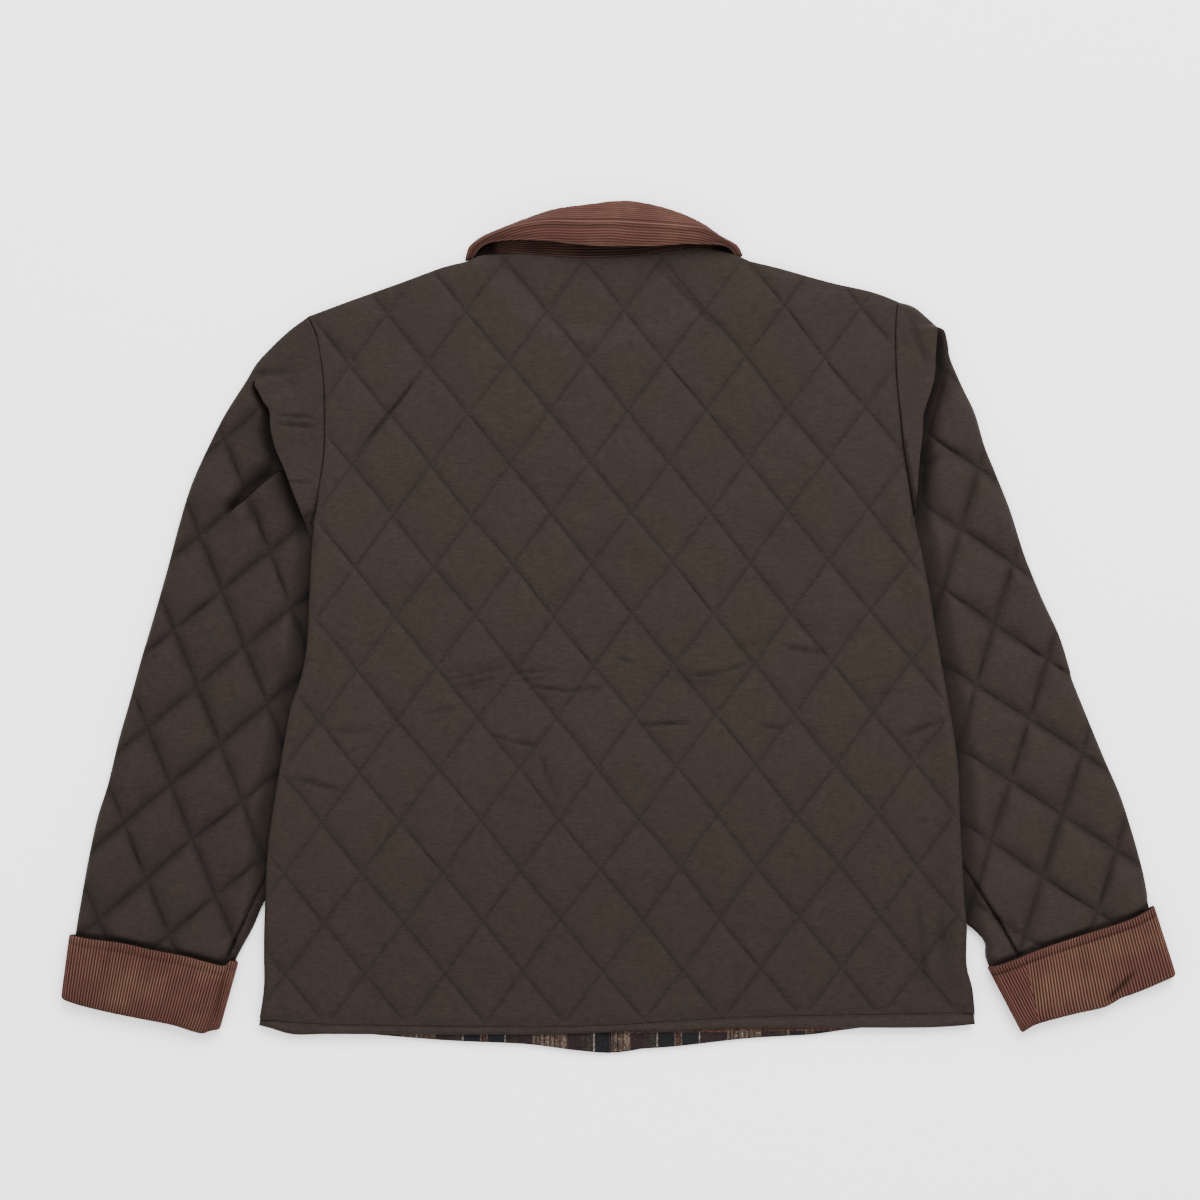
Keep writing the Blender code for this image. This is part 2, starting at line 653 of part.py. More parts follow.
def make_sleeve(lines, side, cuff, material, collection):
    left = side == "left"
    outline, open_spans = sleeve_outline(lines, side)
    body = back_outline(lines, 0.0)
    quilt = Quilt(QUILTING[side])
    ridge = smooth(column_points(CAP_LEFT if left else CAP_RIGHT, "x", "y"), 12.0)
    outward = -1 if left else 1
    branch = smooth(column_points(BRANCH_LEFT, "x", "y"), 12.0) if left else None
    armhole = lines["armhole_" + side]
    outer = smooth(column_points(SLEEVE_LEFT if left else SLEEVE_RIGHT, "x", "y"), EDGE_STEP)
    wrist = [outer[-1], lines["inner_" + side][-1]]

    def beyond(point, shape):
        return 0.0 if inside(point, shape) else distance(point, shape, True)

    def top(p):
        point = (p[0], p[1])
        edge = distance(point, outline, True)
        height = SLEEVE_STITCH + quilt.puff(point) * blend(edge, -2.0, 16.0)
        height += fold_height(point, ridge, outward)
        if branch:
            height += branch_height(point, branch)
        height = max(height, FOLD_FLOOR)
        in_cuff = 1 - blend(beyond(point, cuff), 1.6, 16.0)
        height += (SLEEVE_END[1] - height) * in_cuff
        if p[1] < UNDERARM_Y + 40:
            tucked = 1 - blend(beyond(point, body), 0.7, 13.0)
            height += (SLEEVE_MARGIN - height) * tucked
        return height

    def top_edge(p):
        point = (p[0], p[1])
        if distance(point, armhole) < 1.0:
            return SLEEVE_MARGIN + (SLEEVE_STITCH - SLEEVE_MARGIN) * blend(p[1], 100.0, 130.0)
        if inside(point, body):
            return SLEEVE_MARGIN
        if distance(point, wrist) < 1.0 and min(math.dist(point, end) for end in wrist) > 6.0:
            return SLEEVE_END[1]
        return SLEEVE_RIM[1]

    def under(p):
        point = (p[0], p[1])
        return SLEEVE_END[0] * (1 - blend(beyond(point, cuff), 1.6, 16.0))

    def under_edge(p):
        point = (p[0], p[1])
        if distance(point, armhole) < 1.0 or inside(point, body):
            return 0.0
        return max(SLEEVE_RIM[0], under(p))

    def hollow_floor(p):
        return SLEEVE_SLIT[0] + 1.2 * (1 - blend(beyond((p[0], p[1]), cuff), 0.0, 40.0))

    def hollow_roof(p):
        return hollow_floor(p) + SLEEVE_SLIT[1] - SLEEVE_SLIT[0]

    cuff_line = [p for p in moved(cuff, -1.5, closed=True)
                 if inside(p, outline) and distance(p, outline, True) > 1.0]
    body_line = [p for p in straight(moved(armhole[-2:-1] + lines[side], outward * 1.0),
                                     0.5 * EDGE_STEP)
                 if inside(p, outline) and distance(p, outline, True) > 0.8]
    folds = moved(ridge, outward * -1.0)[1:-1] + moved(ridge, outward * 3.0)[1:-1]
    folds += moved(ridge, outward * 20.0)[1:-1]
    if branch:
        folds += branch + moved(branch, 9.0) + moved(branch, -9.0)
    folds = [p for p in folds if inside(p, outline) and distance(p, outline, True) > 3]
    fixed = kept_apart(kept_apart(cuff_line, body_line, 3.0), folds, 2.0)
    puffs = kept_apart(ring(outline, ROLL), quilt.spots(outline, 1.6 * ROLL), 5.0)
    spots = kept_apart(fixed, puffs, 5.5)
    plain = [p for p in grid(outline, 17.0, 5.0) if beyond(p, cuff) < 40]
    plain = kept_apart(kept_apart(cuff_line, ring(outline, 3.0), 3.0), plain, 8.0)
    return tube("sleeve_" + side, outline, open_spans, 3.0, (spots, top, top_edge),
                (plain, under, under_edge), (hollow_floor, hollow_roof), material, collection)


# ---------------------------------------------------------------- cuffs

def cuff_outline(side):
    """Anticlockwise, with the spans of the free edge and of the folded edge."""
    rows = CUFF_LEFT if side == "left" else CUFF_RIGHT
    step = 10.0
    free = straight(column_points(rows["free"], "x", "y"), step)
    fold = straight(column_points(rows["fold"], "x", "y"), step)
    outer = straight([free[0], fold[0]], step)
    inner = straight([fold[-1], free[-1]], step)
    outline = outer[:-1] + fold[:-1] + inner[:-1] + free[:0:-1]
    fold_spans = list(range(len(outer) - 1, len(outer) + len(fold) - 2))
    first = len(outer) + len(fold) + len(inner) - 3
    free_spans = list(range(first, len(outline)))
    if side == "right":
        count = len(outline)
        outline = outline[::-1]
        fold_spans = [(count - 2 - i) % count for i in fold_spans]
        free_spans = [(count - 2 - i) % count for i in free_spans]
    return outline, fold, free, sorted(fold_spans + free_spans)


def make_cuff(side, material, collection):
    """A corduroy band turned back over the end of the sleeve."""
    outline, fold, free, open_spans = cuff_outline(side)

    def from_fold(p):
        return distance((p[0], p[1]), fold)

    def top(p):
        return CUFF_TOP - CUFF_FOLD_DROP * (1 - blend(from_fold(p), 4.0, 14.0))

    def top_edge(p):
        point = (p[0], p[1])
        corners = (free[0], free[-1])
        if distance(point, free) < 0.5 and min(math.dist(point, end) for end in corners) > 1.0:
            return CUFF_TOP
        return CUFF_EDGES[0] if from_fold(p) < 0.5 else CUFF_EDGES[1]

    def under_edge(p):
        return 0.0 if distance((p[0], p[1]), free) < 0.5 else SLEEVE_RIM[0]

    def floor(p):
        return CUFF_SLIT[0] + (CUFF_HOLLOW[0] - CUFF_SLIT[0]) * blend(from_fold(p), 0.5, 9.0)

    def roof(p):
        return CUFF_SLIT[1] + (CUFF_HOLLOW[1] - CUFF_SLIT[1]) * blend(from_fold(p), 0.5, 9.0)

    spots = kept_apart(ring(outline, 4.0), grid(outline, 20.0, 9.0), 5.0)
    throat = moved(fold, 9.5 if side == "left" else -9.5)[1:-1]
    return tube("cuff_" + side, outline, open_spans, CUFF_SIDE, (spots, top, top_edge),
                (ring(outline, 3.0), level(0.0), under_edge), (floor, roof), material,
                collection, inner_line=throat)


# ---------------------------------------------------------------- collar

def loft(name, sections, material, collection):
    """A solid through closed sections that have the same number of points."""
    shell = Shell()
    rings = []
    for section in sections:
        first = len(shell.points)
        shell.points += [(x * MM, y * MM, z * MM) for x, y, z in section]
        rings.append(list(range(first, first + len(section))))
    for a, b in zip(rings, rings[1:]):
        shell.strip(a, b)
    half = len(rings[0]) // 2
    for end in (rings[0], rings[-1]):
        for i in range(half - 1):
            shell.faces.append([end[i], end[i + 1], end[-2 - i], end[-1 - i]])
    return shell.finish(name, material, collection)


def along_rows(rows, parts):
    """Rows read more finely, with a soft curve through each column."""
    result = []
    keys = list(rows[0])
    for i in range(len(rows) - 1):
        for k in range(parts):
            t = k / parts
            near = [rows[min(max(i + n, 0), len(rows) - 1)] for n in (-1, 0, 1, 2)]
            row = {}
            for key in keys:
                a, b, c, d = (r[key] for r in near)
                row[key] = 0.5 * (2 * b + (c - a) * t + (2 * a - 5 * b + 4 * c - d) * t ** 2
                                  + (3 * b - a - 3 * c + d) * t ** 3)
            result.append(row)
    return result + [rows[-1]]


def collar_section(row):
    """From the free edge over the ridge, round the fold line and back along the surface."""
    edge = Vector((row["edge_x"], row["edge_y"]))
    arch = Vector((row["arch_x"], row["arch_y"]))
    width = (arch - edge).length
    across = (arch - edge) / width
    ridge, high, low = row["ridge"], row["ridge_top"], row["edge_top"]
    roll = 0.45 * high
    outer = [(0.0, low), (0.5 * ridge, low + 0.65 * (high - low)), (ridge, high),
             (0.5 + 0.5 * ridge, 0.5 * (high + roll) + 1.0), (1.0, roll), (0.98, 0.15 * high)]
    section = [(share * width, z) for share, z in outer]
    turn = min(COLLAR_TURN, width - 0.4)
    section += [(width - 2.0, 0.0), (width - turn, 0.0)]
    room = width - COLLAR_WALL
    inner = [(share * room, z - COLLAR_WALL) for share, z in outer[:4]]
    inner += [(room, roll), (room, 0.5 * (roll + COLLAR_WALL)), (room - 0.5, COLLAR_WALL - 0.4),
              (width - turn, COLLAR_WALL - 0.6)]
    points = section + inner[::-1]
    return [(edge.x + across.x * s, edge.y + across.y * s, z) for s, z in points]


def make_collar(material, collection):
    return loft("collar", [collar_section(row) for row in along_rows(COLLAR, 2)],
                material, collection)


def make_collar_stand(under, material, collection):
    """A band that climbs from the neck seam to the inside of the fall."""
    sections = []
    for row in along_rows(STAND, 2):
        low = under((row["x"], row["neck_y"] - 1.0))
        bend_y = 0.65 * row["neck_y"] + 0.35 * row["top_y"]
        bend = low + STAND_BEND * (row["top"] - low)
        upper = [(row["neck_y"], low + STAND_WALL), (bend_y, bend + STAND_WALL),
                 (row["top_y"], row["top"] + STAND_WALL)]
        lower = [(row["neck_y"], low), (bend_y, bend), (row["top_y"], row["top"])]
        sections.append([(row["x"], y, z) for y, z in upper + lower[::-1]])
    return loft("collar_stand", sections, material, collection)


# ---------------------------------------------------------------- the garment

def clear_scene():
    for item in list(bpy.data.objects):
        bpy.data.objects.remove(item, do_unlink=True)


def build():
    clear_scene()
    garment = bpy.data.collections.new("quilted_jacket")
    bpy.context.scene.collection.children.link(garment)
    shell_cloth = cloth_material("quilted_cotton", (0.055, 0.042, 0.036), 0.62)
    corduroy = cloth_material("corduroy", (0.125, 0.052, 0.038), 0.85)
    plaid = cloth_material("plaid_lining", (0.06, 0.03, 0.035), 0.8)

    lines = body_lines()
    leaves = [leaf_outline("left"), leaf_outline("right")]
    make_back(lines, shell_cloth, garment)
    make_back_hem(lines, shell_cloth, garment)
    for side in ("left", "right"):
        cuff = cuff_outline(side)[0]
        make_front(lines, side, leaves, shell_cloth, garment)
        make_lining(side, plaid, garment)
        make_sleeve(lines, side, cuff, shell_cloth, garment)
        make_cuff(side, corduroy, garment)
        make_collar_end(side, corduroy, garment)
    make_collar(corduroy, garment)
    make_collar_stand(back_under(lines), corduroy, garment)


build()
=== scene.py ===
"""Quilted jacket laid flat, face down, on a pale floor, seen from straight above.

Lengths are in millimetres in the tables and become metres in the meshes: x to the right,
y towards the neck, z up from the floor.
"""
import math

import bmesh
import bpy
import numpy as np
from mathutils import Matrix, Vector
from mathutils.geometry import delaunay_2d_cdt
from mathutils.kdtree import KDTree


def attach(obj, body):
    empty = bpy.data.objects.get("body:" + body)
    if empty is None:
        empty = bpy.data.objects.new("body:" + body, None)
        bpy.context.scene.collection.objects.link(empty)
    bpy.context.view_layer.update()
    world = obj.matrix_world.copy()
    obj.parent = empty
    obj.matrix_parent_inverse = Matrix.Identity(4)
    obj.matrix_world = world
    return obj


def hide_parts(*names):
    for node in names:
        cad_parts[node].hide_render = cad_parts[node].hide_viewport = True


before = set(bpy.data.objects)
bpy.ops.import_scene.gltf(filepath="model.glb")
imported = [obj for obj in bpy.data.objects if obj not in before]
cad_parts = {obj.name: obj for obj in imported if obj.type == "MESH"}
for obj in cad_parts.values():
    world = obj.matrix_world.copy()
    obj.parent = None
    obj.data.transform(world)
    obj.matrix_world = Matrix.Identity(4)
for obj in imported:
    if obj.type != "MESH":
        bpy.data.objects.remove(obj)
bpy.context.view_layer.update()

# ---- Back ------------------------------------------------------------------------------
# The back panel: dark olive-brown cotton over thin wadding and a backing, stitched through
# in diamonds. It is cut in one piece, sewn to the sleeves and the fronts with its edges
# turned in, and lies on the fronts.
MM = 0.001              # metres in a millimetre
SEAM = 0.3              # gap between pieces that are sewn to each other
MIDDLE = -7.5           # x of the centre of the neck
UNDERARM = 62.0         # y of the foot of the armholes
TUCK = 12.0             # how far the sleeves run in under the sides of the back
FRONT_THICK = 4.3       # thickness of the fronts under the back
BACK_WALL = 2.6         # least thickness, between the fillings
BACK_PUFF = (1.3, 0.6, 3.8, 0.16)       # fill, dome, width of the valleys, puckers
BACK_UNEVEN = ((0.55, 170, 5), (0.16, 42, 6), (0.05, 15, 7))    # height, size, seed
BACK_DIAMONDS = np.array([(14.1, -73.5), (31.3, 42.05), (33.5, -41.1)])  # corner, two sides
SIDE_ROLL = (2.3, 5.0, 6.0)             # swelling along the sides: height, place, width
CELL_PARTS = 20         # parts of the mesh along one side of a diamond
STITCH_ROWS = (0.0, -0.8, 0.8, -1.8, 1.8, -3.2, 3.2)    # rows of the mesh beside a seam

BODY_LEFT = np.array([
    (-251, 62), (-253, 21), (-255, -16), (-260, -43), (-267, -62), (-272, -87), (-280, -134),
    (-286, -175), (-288, -204), (-290, -259), (-290, -294), (-294, -322)], float)
BODY_RIGHT = np.array([
    (248, 62), (254, 30), (261, -12), (270, -62), (275, -92), (278, -119), (280, -171),
    (283, -223), (285, -244), (285, -276), (290, -297), (292, -322)], float)
SHOULDER_LEFT = np.array([
    (-123, 299), (-144, 294), (-177, 282), (-219, 267), (-254, 254)], float)
SHOULDER_RIGHT = np.array([
    (108, 299), (133, 293), (173, 282), (208, 274), (229, 266)], float)
ARMHOLE_LEFT = np.array([
    (-254, 254), (-247, 237), (-243, 216), (-241, 194), (-241, 144), (-245, 114), (-249, 88)],
    float)
ARMHOLE_RIGHT = np.array([
    (229, 266), (227, 248), (227, 226), (228, 201), (231, 171), (234, 145), (241, 92)], float)
BACK_NECK = np.array([
    (-123, 299), (-112, 304), (-80, 306), (-36, 303), (9, 304), (44, 309), (66, 311), (91, 306),
    (108, 299)], float)
FRONT_NECK = np.array([
    (-123, 299), (-112, 275), (-90, 248), (-55, 229), (-7, 222), (41, 229), (76, 248), (97, 275),
    (108, 299)], float)
HEM_STITCH = np.array([
    (-293, -320.5), (-237, -325), (-90, -327), (-17, -326), (24, -324), (83, -320), (144, -318),
    (210, -317), (290.5, -315.5)], float)

# Creases pressed into the back: from, to, how deep, how wide.
BACK_CREASES = [
    (-143, -38, -93, -31, 1.0, 5.0), (-139, -44, -92, -33, 1.3, 1.8),
    (-132, -49, -94, -40, 1.4, 1.6), (-128, -52, -100, -47, 1.0, 1.2),
    (-86, -38, -52, -35, 1.0, 1.6), (-84, -44, -56, -42, 0.8, 1.3),
    (-70, -49, -38, -53, 1.8, 1.8), (-38, -53, -10, -50, 0.9, 3.0),
    (-106, -88, -84, -94.5, 1.2, 1.6), (-86, -94, -67, -97, 1.8, 1.9),
    (-160, -71, -127, -66, 1.0, 3.1), (-65, -100, -52, -140, 1.0, 3.0),
    (-1, -25, 12, -30, 1.5, 1.6), (-236, -86, -200, -87, 1.3, 4.0), (59, -40, 84, -38, 1.5, 2.2),
    (84, -38, 106, -30, 1.3, 2.0), (134, -16, 168, -22, 1.5, 2.5),
    (17, -80.5, 60, -78.5, 1.7, 2.0), (115, -80, 134, -84, 1.6, 2.0),
    (233, -90, 263, -77, 1.5, 2.6), (-266, -123, -228, -134, 1.4, 3.0),
    (-243, 240, -214, 216, 0.9, 5.0), (-168, 199, -214, 141, 1.6, 1.6),
    (244, -218, 252, -300, 1.0, 3.1), (262, -225, 268, -290, 1.4, 5.0),
    (-120, -36, -60, -30, 0.7, 9.0), (20, -38, 90, -52, 0.9, 10.0), (-40, 60, 40, 52, 0.6, 14.0),
    (-200, 30, -120, 20, 0.6, 14.0), (100, 80, 180, 60, 0.6, 14.0), (30, 297, 83, 241, 1.3, 2.6),
    (-172, 202, -218, 144, 0.5, 2.6), (-60, 20, -20, 30, 0.5, 6.0),
    (60, 150, 120, 160, 0.5, 10.0), (92, -20, 124, -12, 0.9, 4.0),
    (-190, -60, -170, -100, 0.8, 6.0), (150, 0, 190, -10, 0.8, 5.0),
    (196, -60, 236, -52, 0.9, 4.0), (-100, -140, -60, -150, 0.7, 6.0),
    (-180, 120, -160, 100, 0.5, 5.0)]


def between(a, b, c, d, t):
    """The soft curve from b to c, given the points before and after them."""
    return 0.5 * (2 * b + (c - a) * t + (2 * a - 5 * b + 4 * c - d) * t ** 2
                  + (3 * b - a - 3 * c + d) * t ** 3)


def curve(points, step):
    """Points about a step apart on a soft curve through the given ones."""
    points = np.asarray(points, float)
    last = len(points) - 1
    result = []
    for i in range(last):
        a, b, c, d = points[np.clip([i - 1, i, i + 1, i + 2], 0, last)]
        t = np.arange(max(1, round(np.linalg.norm(c - b) / step)))[:, None]
        result.append(between(a, b, c, d, t / len(t)))
    return np.concatenate(result + [points[-1:]])


def straight(points, step):
    """Points about a step apart along straight runs."""
    points = np.asarray(points, float)
    result = []
    for a, b in zip(points, points[1:]):
        t = np.arange(max(1, round(np.linalg.norm(b - a) / step)))[:, None]
        result.append(a + (b - a) * t / len(t))
    return np.concatenate(result + [points[-1:]])


def offset(line, gap, closed=False):
    """The line moved to its left."""
    if closed:
        along = np.roll(line, -1, 0) - np.roll(line, 1, 0)
    else:
        along = np.vstack([line[1:2] - line[:1], line[2:] - line[:-2], line[-1:] - line[-2:-1]])
    along = along / np.linalg.norm(along, axis=1)[:, None]
    return line + gap * np.column_stack([-along[:, 1], along[:, 0]])


def reach(spots, line, closed=False):
    """The shortest way from each spot to a line."""
    a = line if closed else line[:-1]
    span = (np.roll(line, -1, 0) if closed else line[1:]) - a
    length = (span ** 2).sum(1) + 1e-9
    result = np.empty(len(spots))
    for k in range(0, len(spots), 4000):
        away = spots[k:k + 4000, None] - a
        t = np.clip((away * span).sum(2) / length, 0, 1)
        away -= span * t[..., None]
        result[k:k + 4000] = np.sqrt((away ** 2).sum(2).min(1))
    return result


def within(spots, outline):
    """Which spots lie inside a closed outline."""
    a, b = outline, np.roll(outline, -1, 0)
    result = np.empty(len(spots), bool)
    for k in range(0, len(spots), 4000):
        x, y = spots[k:k + 4000, 0, None], spots[k:k + 4000, 1, None]
        rise = np.where(a[:, 1] == b[:, 1], 1e-9, b[:, 1] - a[:, 1])
        cross = ((a[:, 1] > y) != (b[:, 1] > y)) & (
            x < a[:, 0] + (b[:, 0] - a[:, 0]) * (y - a[:, 1]) / rise)
        result[k:k + 4000] = cross.sum(1) % 2 == 1
    return result


def clear_of(spots, outline, clear):
    """The spots inside a closed outline that keep clear of it."""
    spots = spots[within(spots, outline)]
    return spots[reach(spots, outline, True) > clear]


def soft(value, start, end):
    """0 before start, 1 after end, with a soft turn between."""
    t = np.clip((value - start) / (end - start), 0, 1)
    return t * t * (3 - 2 * t)


def peak(value, at, width):
    """1 at one value, fading away on both sides over a width."""
    return np.exp(-((value - at) / width) ** 2)


def roll(away, radius):
    """Height of a rounded edge, from 0 at the rim to 1 past the radius."""
    t = 1 - np.clip(away / radius, 0, 1)
    return np.sqrt(1 - t * t)


def wander(p, size, seed):
    """A smooth, uneven field between about -1 and 1."""
    draw = np.random.default_rng(seed)
    total = np.zeros(len(p))
    for _ in range(6):
        turn, phase, scale = draw.uniform(0, 6.283), draw.uniform(0, 6.283), draw.uniform(0.7, 1.6)
        across = p[:, 0] * np.cos(turn) + p[:, 1] * np.sin(turn)
        total += np.sin(across * scale * 6.283 / size + phase)
    return total / 3.2


def uneven(p, rows):
    """Several such fields together, each with its height, size and seed."""
    return sum(height * wander(p, size, seed) for height, size, seed in rows)


def kept_apart(first, others, gap):
    """All of the first spots, and the others that keep a gap to them."""
    if not len(first) or not len(others):
        return np.vstack([first, others]) if len(first) else others
    tree = KDTree(len(first))
    for i, p in enumerate(first):
        tree.insert((p[0], p[1], 0), i)
    tree.balance()
    keep = [tree.find((p[0], p[1], 0))[2] > gap for p in others]
    return np.vstack([first, others[keep]])


def rings(outline, insets, share=0.9):
    """Spots that follow a closed outline at some distances inside it."""
    result = []
    for inset in insets:
        line = offset(outline, inset, True)
        result.append(line[within(line, outline) & (reach(line, outline, True) > share * inset)])
    return np.vstack(result)


def plain_grid(outline, step, clear):
    """Spots in even rows and columns inside an outline."""
    low, high = outline.min(0), outline.max(0)
    x, y = np.meshgrid(*[np.arange(low[k] + step / 2, high[k], step) for k in (0, 1)])
    return clear_of(np.column_stack([x.ravel(), y.ravel()]), outline, clear)


def kept_runs(run, ok):
    """The unbroken stretches of a run that may stay, of three spots or more."""
    parts = np.split(np.arange(len(run)), np.flatnonzero(np.diff(ok.astype(int))) + 1)
    return [run[part] for part in parts if len(part) > 2 and ok[part[0]]]


BROAD_CREASE = 3.2      # a crease this wide counts as broad


def creased(p, rows, lips=0.45, trough=-1.35, broad=1.0):
    """Soft troughs with a raised lip on both sides; broad scales the wide ones."""
    total = np.zeros(len(p))
    for x1, y1, x2, y2, depth, width in rows:
        start, span = np.array((x1, y1)), np.array((x2 - x1, y2 - y1))
        near = np.abs(p - start - span / 2).max(1) < 0.5 * np.abs(span).max() + 5 * width
        q = p[near] - start
        t = np.clip(q @ span / (span @ span), -0.2, 1.2)
        away = np.linalg.norm(q - np.clip(t, 0, 1)[:, None] * span, axis=1)
        fade = soft(t, -0.2, 0.35) * (1 - soft(t, 0.65, 1.2))
        share = depth if width < BROAD_CREASE else depth * broad
        total[near] += share * fade * (lips * peak(away, 0, 2.6 * width)
                                       + trough * np.exp(-(away / width) ** 1.4))
    return total


PUCKER = 5.7            # length of the small waves beside a row of stitches


class Diamonds:
    """Quilting: one stitched corner and the two sides of a diamond that leave it.

    pulls are the shares of the full depth that the two families of lines get.
    """

    def __init__(self, rows, seed, pulls=(1.0, 1.0)):
        self.corner, self.a, self.b = rows
        self.seed, self.pulls = seed, pulls
        self.area = self.a[0] * self.b[1] - self.a[1] * self.b[0]

    def drift(self, p):
        """How far the lines of stitching stray from straight ones."""
        return np.column_stack([wander(p, 210, self.seed), wander(p, 190, self.seed + 1)])

    def place(self, p):
        """Numbers of the lines on both sides of each spot, with parts between them."""
        q = p - self.corner + self.drift(p)
        return ((q[:, 0] * self.b[1] - q[:, 1] * self.b[0]) / self.area,
                (self.a[0] * q[:, 1] - self.a[1] * q[:, 0]) / self.area)

    def spot(self, i, j):
        """The spots that have such numbers."""
        want = self.corner + np.outer(i, self.a) + np.outer(j, self.b)
        p = want
        for _ in range(3):
            p = want - self.drift(p)
        return p

    def span(self, outline):
        """The first and last number of the lines of both families that an outline needs."""
        i, j = self.place(outline)
        return math.floor(i.min()), math.ceil(i.max()), math.floor(j.min()), math.ceil(j.max())

    def spots(self, outline, parts, clear):
        """Spots that part each side of the diamonds inside an outline."""
        i0, i1, j0, j1 = self.span(outline)
        i, j = np.meshgrid(np.arange(i0 * parts, i1 * parts + 1),
                           np.arange(j0 * parts, j1 * parts + 1))
        p = self.spot(i.ravel() / parts, j.ravel() / parts)
        return clear_of(p[((p > outline.min(0)) & (p < outline.max(0))).all(1)], outline, clear)

    def lines(self, outline, clear, step=4.0):
        """Runs of stitching inside an outline."""
        i0, i1, j0, j1 = self.span(outline)
        runs = []
        for fixed, low, high, side in (("i", j0, j1, self.b), ("j", i0, i1, self.a)):
            t = np.arange(low, high, step / np.linalg.norm(side))
            for n in range(*((i0, i1 + 1) if fixed == "i" else (j0, j1 + 1))):
                k = np.full(len(t), float(n))
                p = self.spot(k, t) if fixed == "i" else self.spot(t, k)
                runs += kept_runs(p, within(p, outline) & (reach(p, outline, True) > clear))
        return runs

    def beside(self, outline, along_step, offsets, clear):
        """Spots in rows along the stitching."""
        rows = [offset(run, gap) for run in self.lines(outline, 0.5, along_step) for gap in offsets]
        return clear_of(np.vstack(rows), outline, clear)

    def rows_near(self, p):
        """For both families of lines: distance, place along, where the puckers start, how
        tight the thread is at each spot, and the family's own pull."""
        i, j = self.place(p)
        side_a, side_b = np.linalg.norm(self.a), np.linalg.norm(self.b)
        for n, (across, along, side) in enumerate(((i, j, side_b), (j, i, side_a))):
            away = np.abs(across - np.round(across)) * abs(self.area) / side
            tight = 1 + 0.5 * wander(p, 150, self.seed + 3 + n)
            tight = np.clip(tight + 0.35 * wander(p, 40, self.seed + 5 + n), 0.4, 1.9)
            yield away, along * side, 5 * np.round(across), tight, self.pulls[n]

    def rise(self, p, puff, dome, width, pucker, groove=0.2):
        """Filled diamonds between narrow grooves, with small puckers beside the stitches."""
        i, j = self.place(p)
        # A number between 0 and 1 for each diamond, so that no two are filled alike.
        cell = np.sin(12.9898 * np.floor(i) + 78.233 * np.floor(j) + self.seed) * 43758.5453
        cell = cell - np.floor(cell)
        height = puff * (0.8 + 0.4 * cell)
        pull = np.zeros(len(p))
        for away, along, start, tight, share in self.rows_near(p):
            height *= 1 - share * np.exp(-(away / (width * tight)) ** 1.2)
            wave = np.sin(along * 6.283 / PUCKER + start + 3.5 * wander(p, 34, self.seed + 7))
            uneven_pull = 0.7 + 0.6 * wander(p, 70, self.seed + 9)
            pull += pucker * wave * peak(away, 3.2, 2.6) * uneven_pull
            pull -= groove * share * peak(away, 0, 0.8)
        height += dome * np.abs(np.sin(np.pi * i) * np.sin(np.pi * j)) * (0.5 + cell)
        return height + pull

    def nearness(self, p, width):
        """Up to about 1 on the stitching, less where it is slack, fading over a width."""
        result = np.zeros(len(p))
        for away, _, _, tight, share in self.rows_near(p):
            fade = np.exp(-(away / width) ** 1.3)
            result = np.maximum(result, share * (0.3 + 0.7 * tight) * fade)
        return result


def link(name, data):
    """An object of its own for a mesh, a lamp or a camera."""
    made = bpy.data.objects.new(name, data)
    bpy.context.scene.collection.objects.link(made)
    return made


def paint(mesh, **values):
    """Values painted on the points of a mesh, for its material to read."""
    for name, value in values.items():
        attribute = mesh.attributes.new(name, "FLOAT", "POINT")
        attribute.data.foreach_set("value", np.ravel(value).astype(np.float32))


def finished(name, mesh, material):
    """A piece of the jacket from its mesh, with the faces pointing outwards."""
    solid = bmesh.new()
    solid.from_mesh(mesh)
    bmesh.ops.triangulate(solid, faces=[f for f in solid.faces if len(f.verts) > 4])
    bmesh.ops.recalc_face_normals(solid, faces=solid.faces)
    solid.to_mesh(mesh)
    solid.free()
    mesh.shade_smooth()
    mesh.materials.append(material)
    piece = link(name, mesh)
    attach(piece, "root")
    return piece


class Cloth:
    """A closed piece of cloth made of sheets that share their edges."""

    def __init__(self):
        self.points, self.faces, self.count, self.shades = [], [], 0, []

    def sheet(self, outline, spots, height, shift=None, shade=None):
        """A sheet through an outline and the spots in it; gives its edge's point numbers."""
        count = len(outline)
        flat = np.vstack([outline, spots]) if len(spots) else outline
        edges = [(i, (i + 1) % count) for i in range(count)]
        places, _, faces, *_ = delaunay_2d_cdt([Vector(p) for p in flat], edges, [], 1, 1e-4)
        places = np.array([p[:] for p in places])
        z = height(places)
        self.shades.append(np.zeros(len(places)) if shade is None else np.clip(shade(places), 0, 1))
        if shift is not None:
            places = places + shift(places)
        self.points.append(np.column_stack([places, z]))
        first = self.count
        self.faces += [[first + i for i in face] for face in faces]
        self.count += len(places)
        return list(range(first, first + count))

    def strip(self, upper, lower, spans=None):
        """Faces between two edges, all the way round or over some spans alone."""
        count = len(upper)
        for i in range(count) if spans is None else spans:
            k = (i + 1) % count
            self.faces.append([upper[i], upper[k], lower[k], lower[i]])

    def finish(self, name, material, sharp=60):
        """The piece itself; edges sharper than an angle in degrees stay crisp."""
        mesh = bpy.data.meshes.new(name)
        mesh.from_pydata(np.vstack(self.points) * MM, [], self.faces)
        paint(mesh, shaded=np.concatenate(self.shades))
        piece = finished(name, mesh, material)
        mesh.set_sharp_from_angle(angle=math.radians(sharp))
        return piece


def flat_panel(name, outline, spots, plain, top, under, material, shade=None):
    """A panel with worked spots above and plain ones below."""
    cloth = Cloth()
    cloth.strip(cloth.sheet(outline, spots, top, shade=shade), cloth.sheet(outline, plain, under))
    return cloth.finish(name, material)


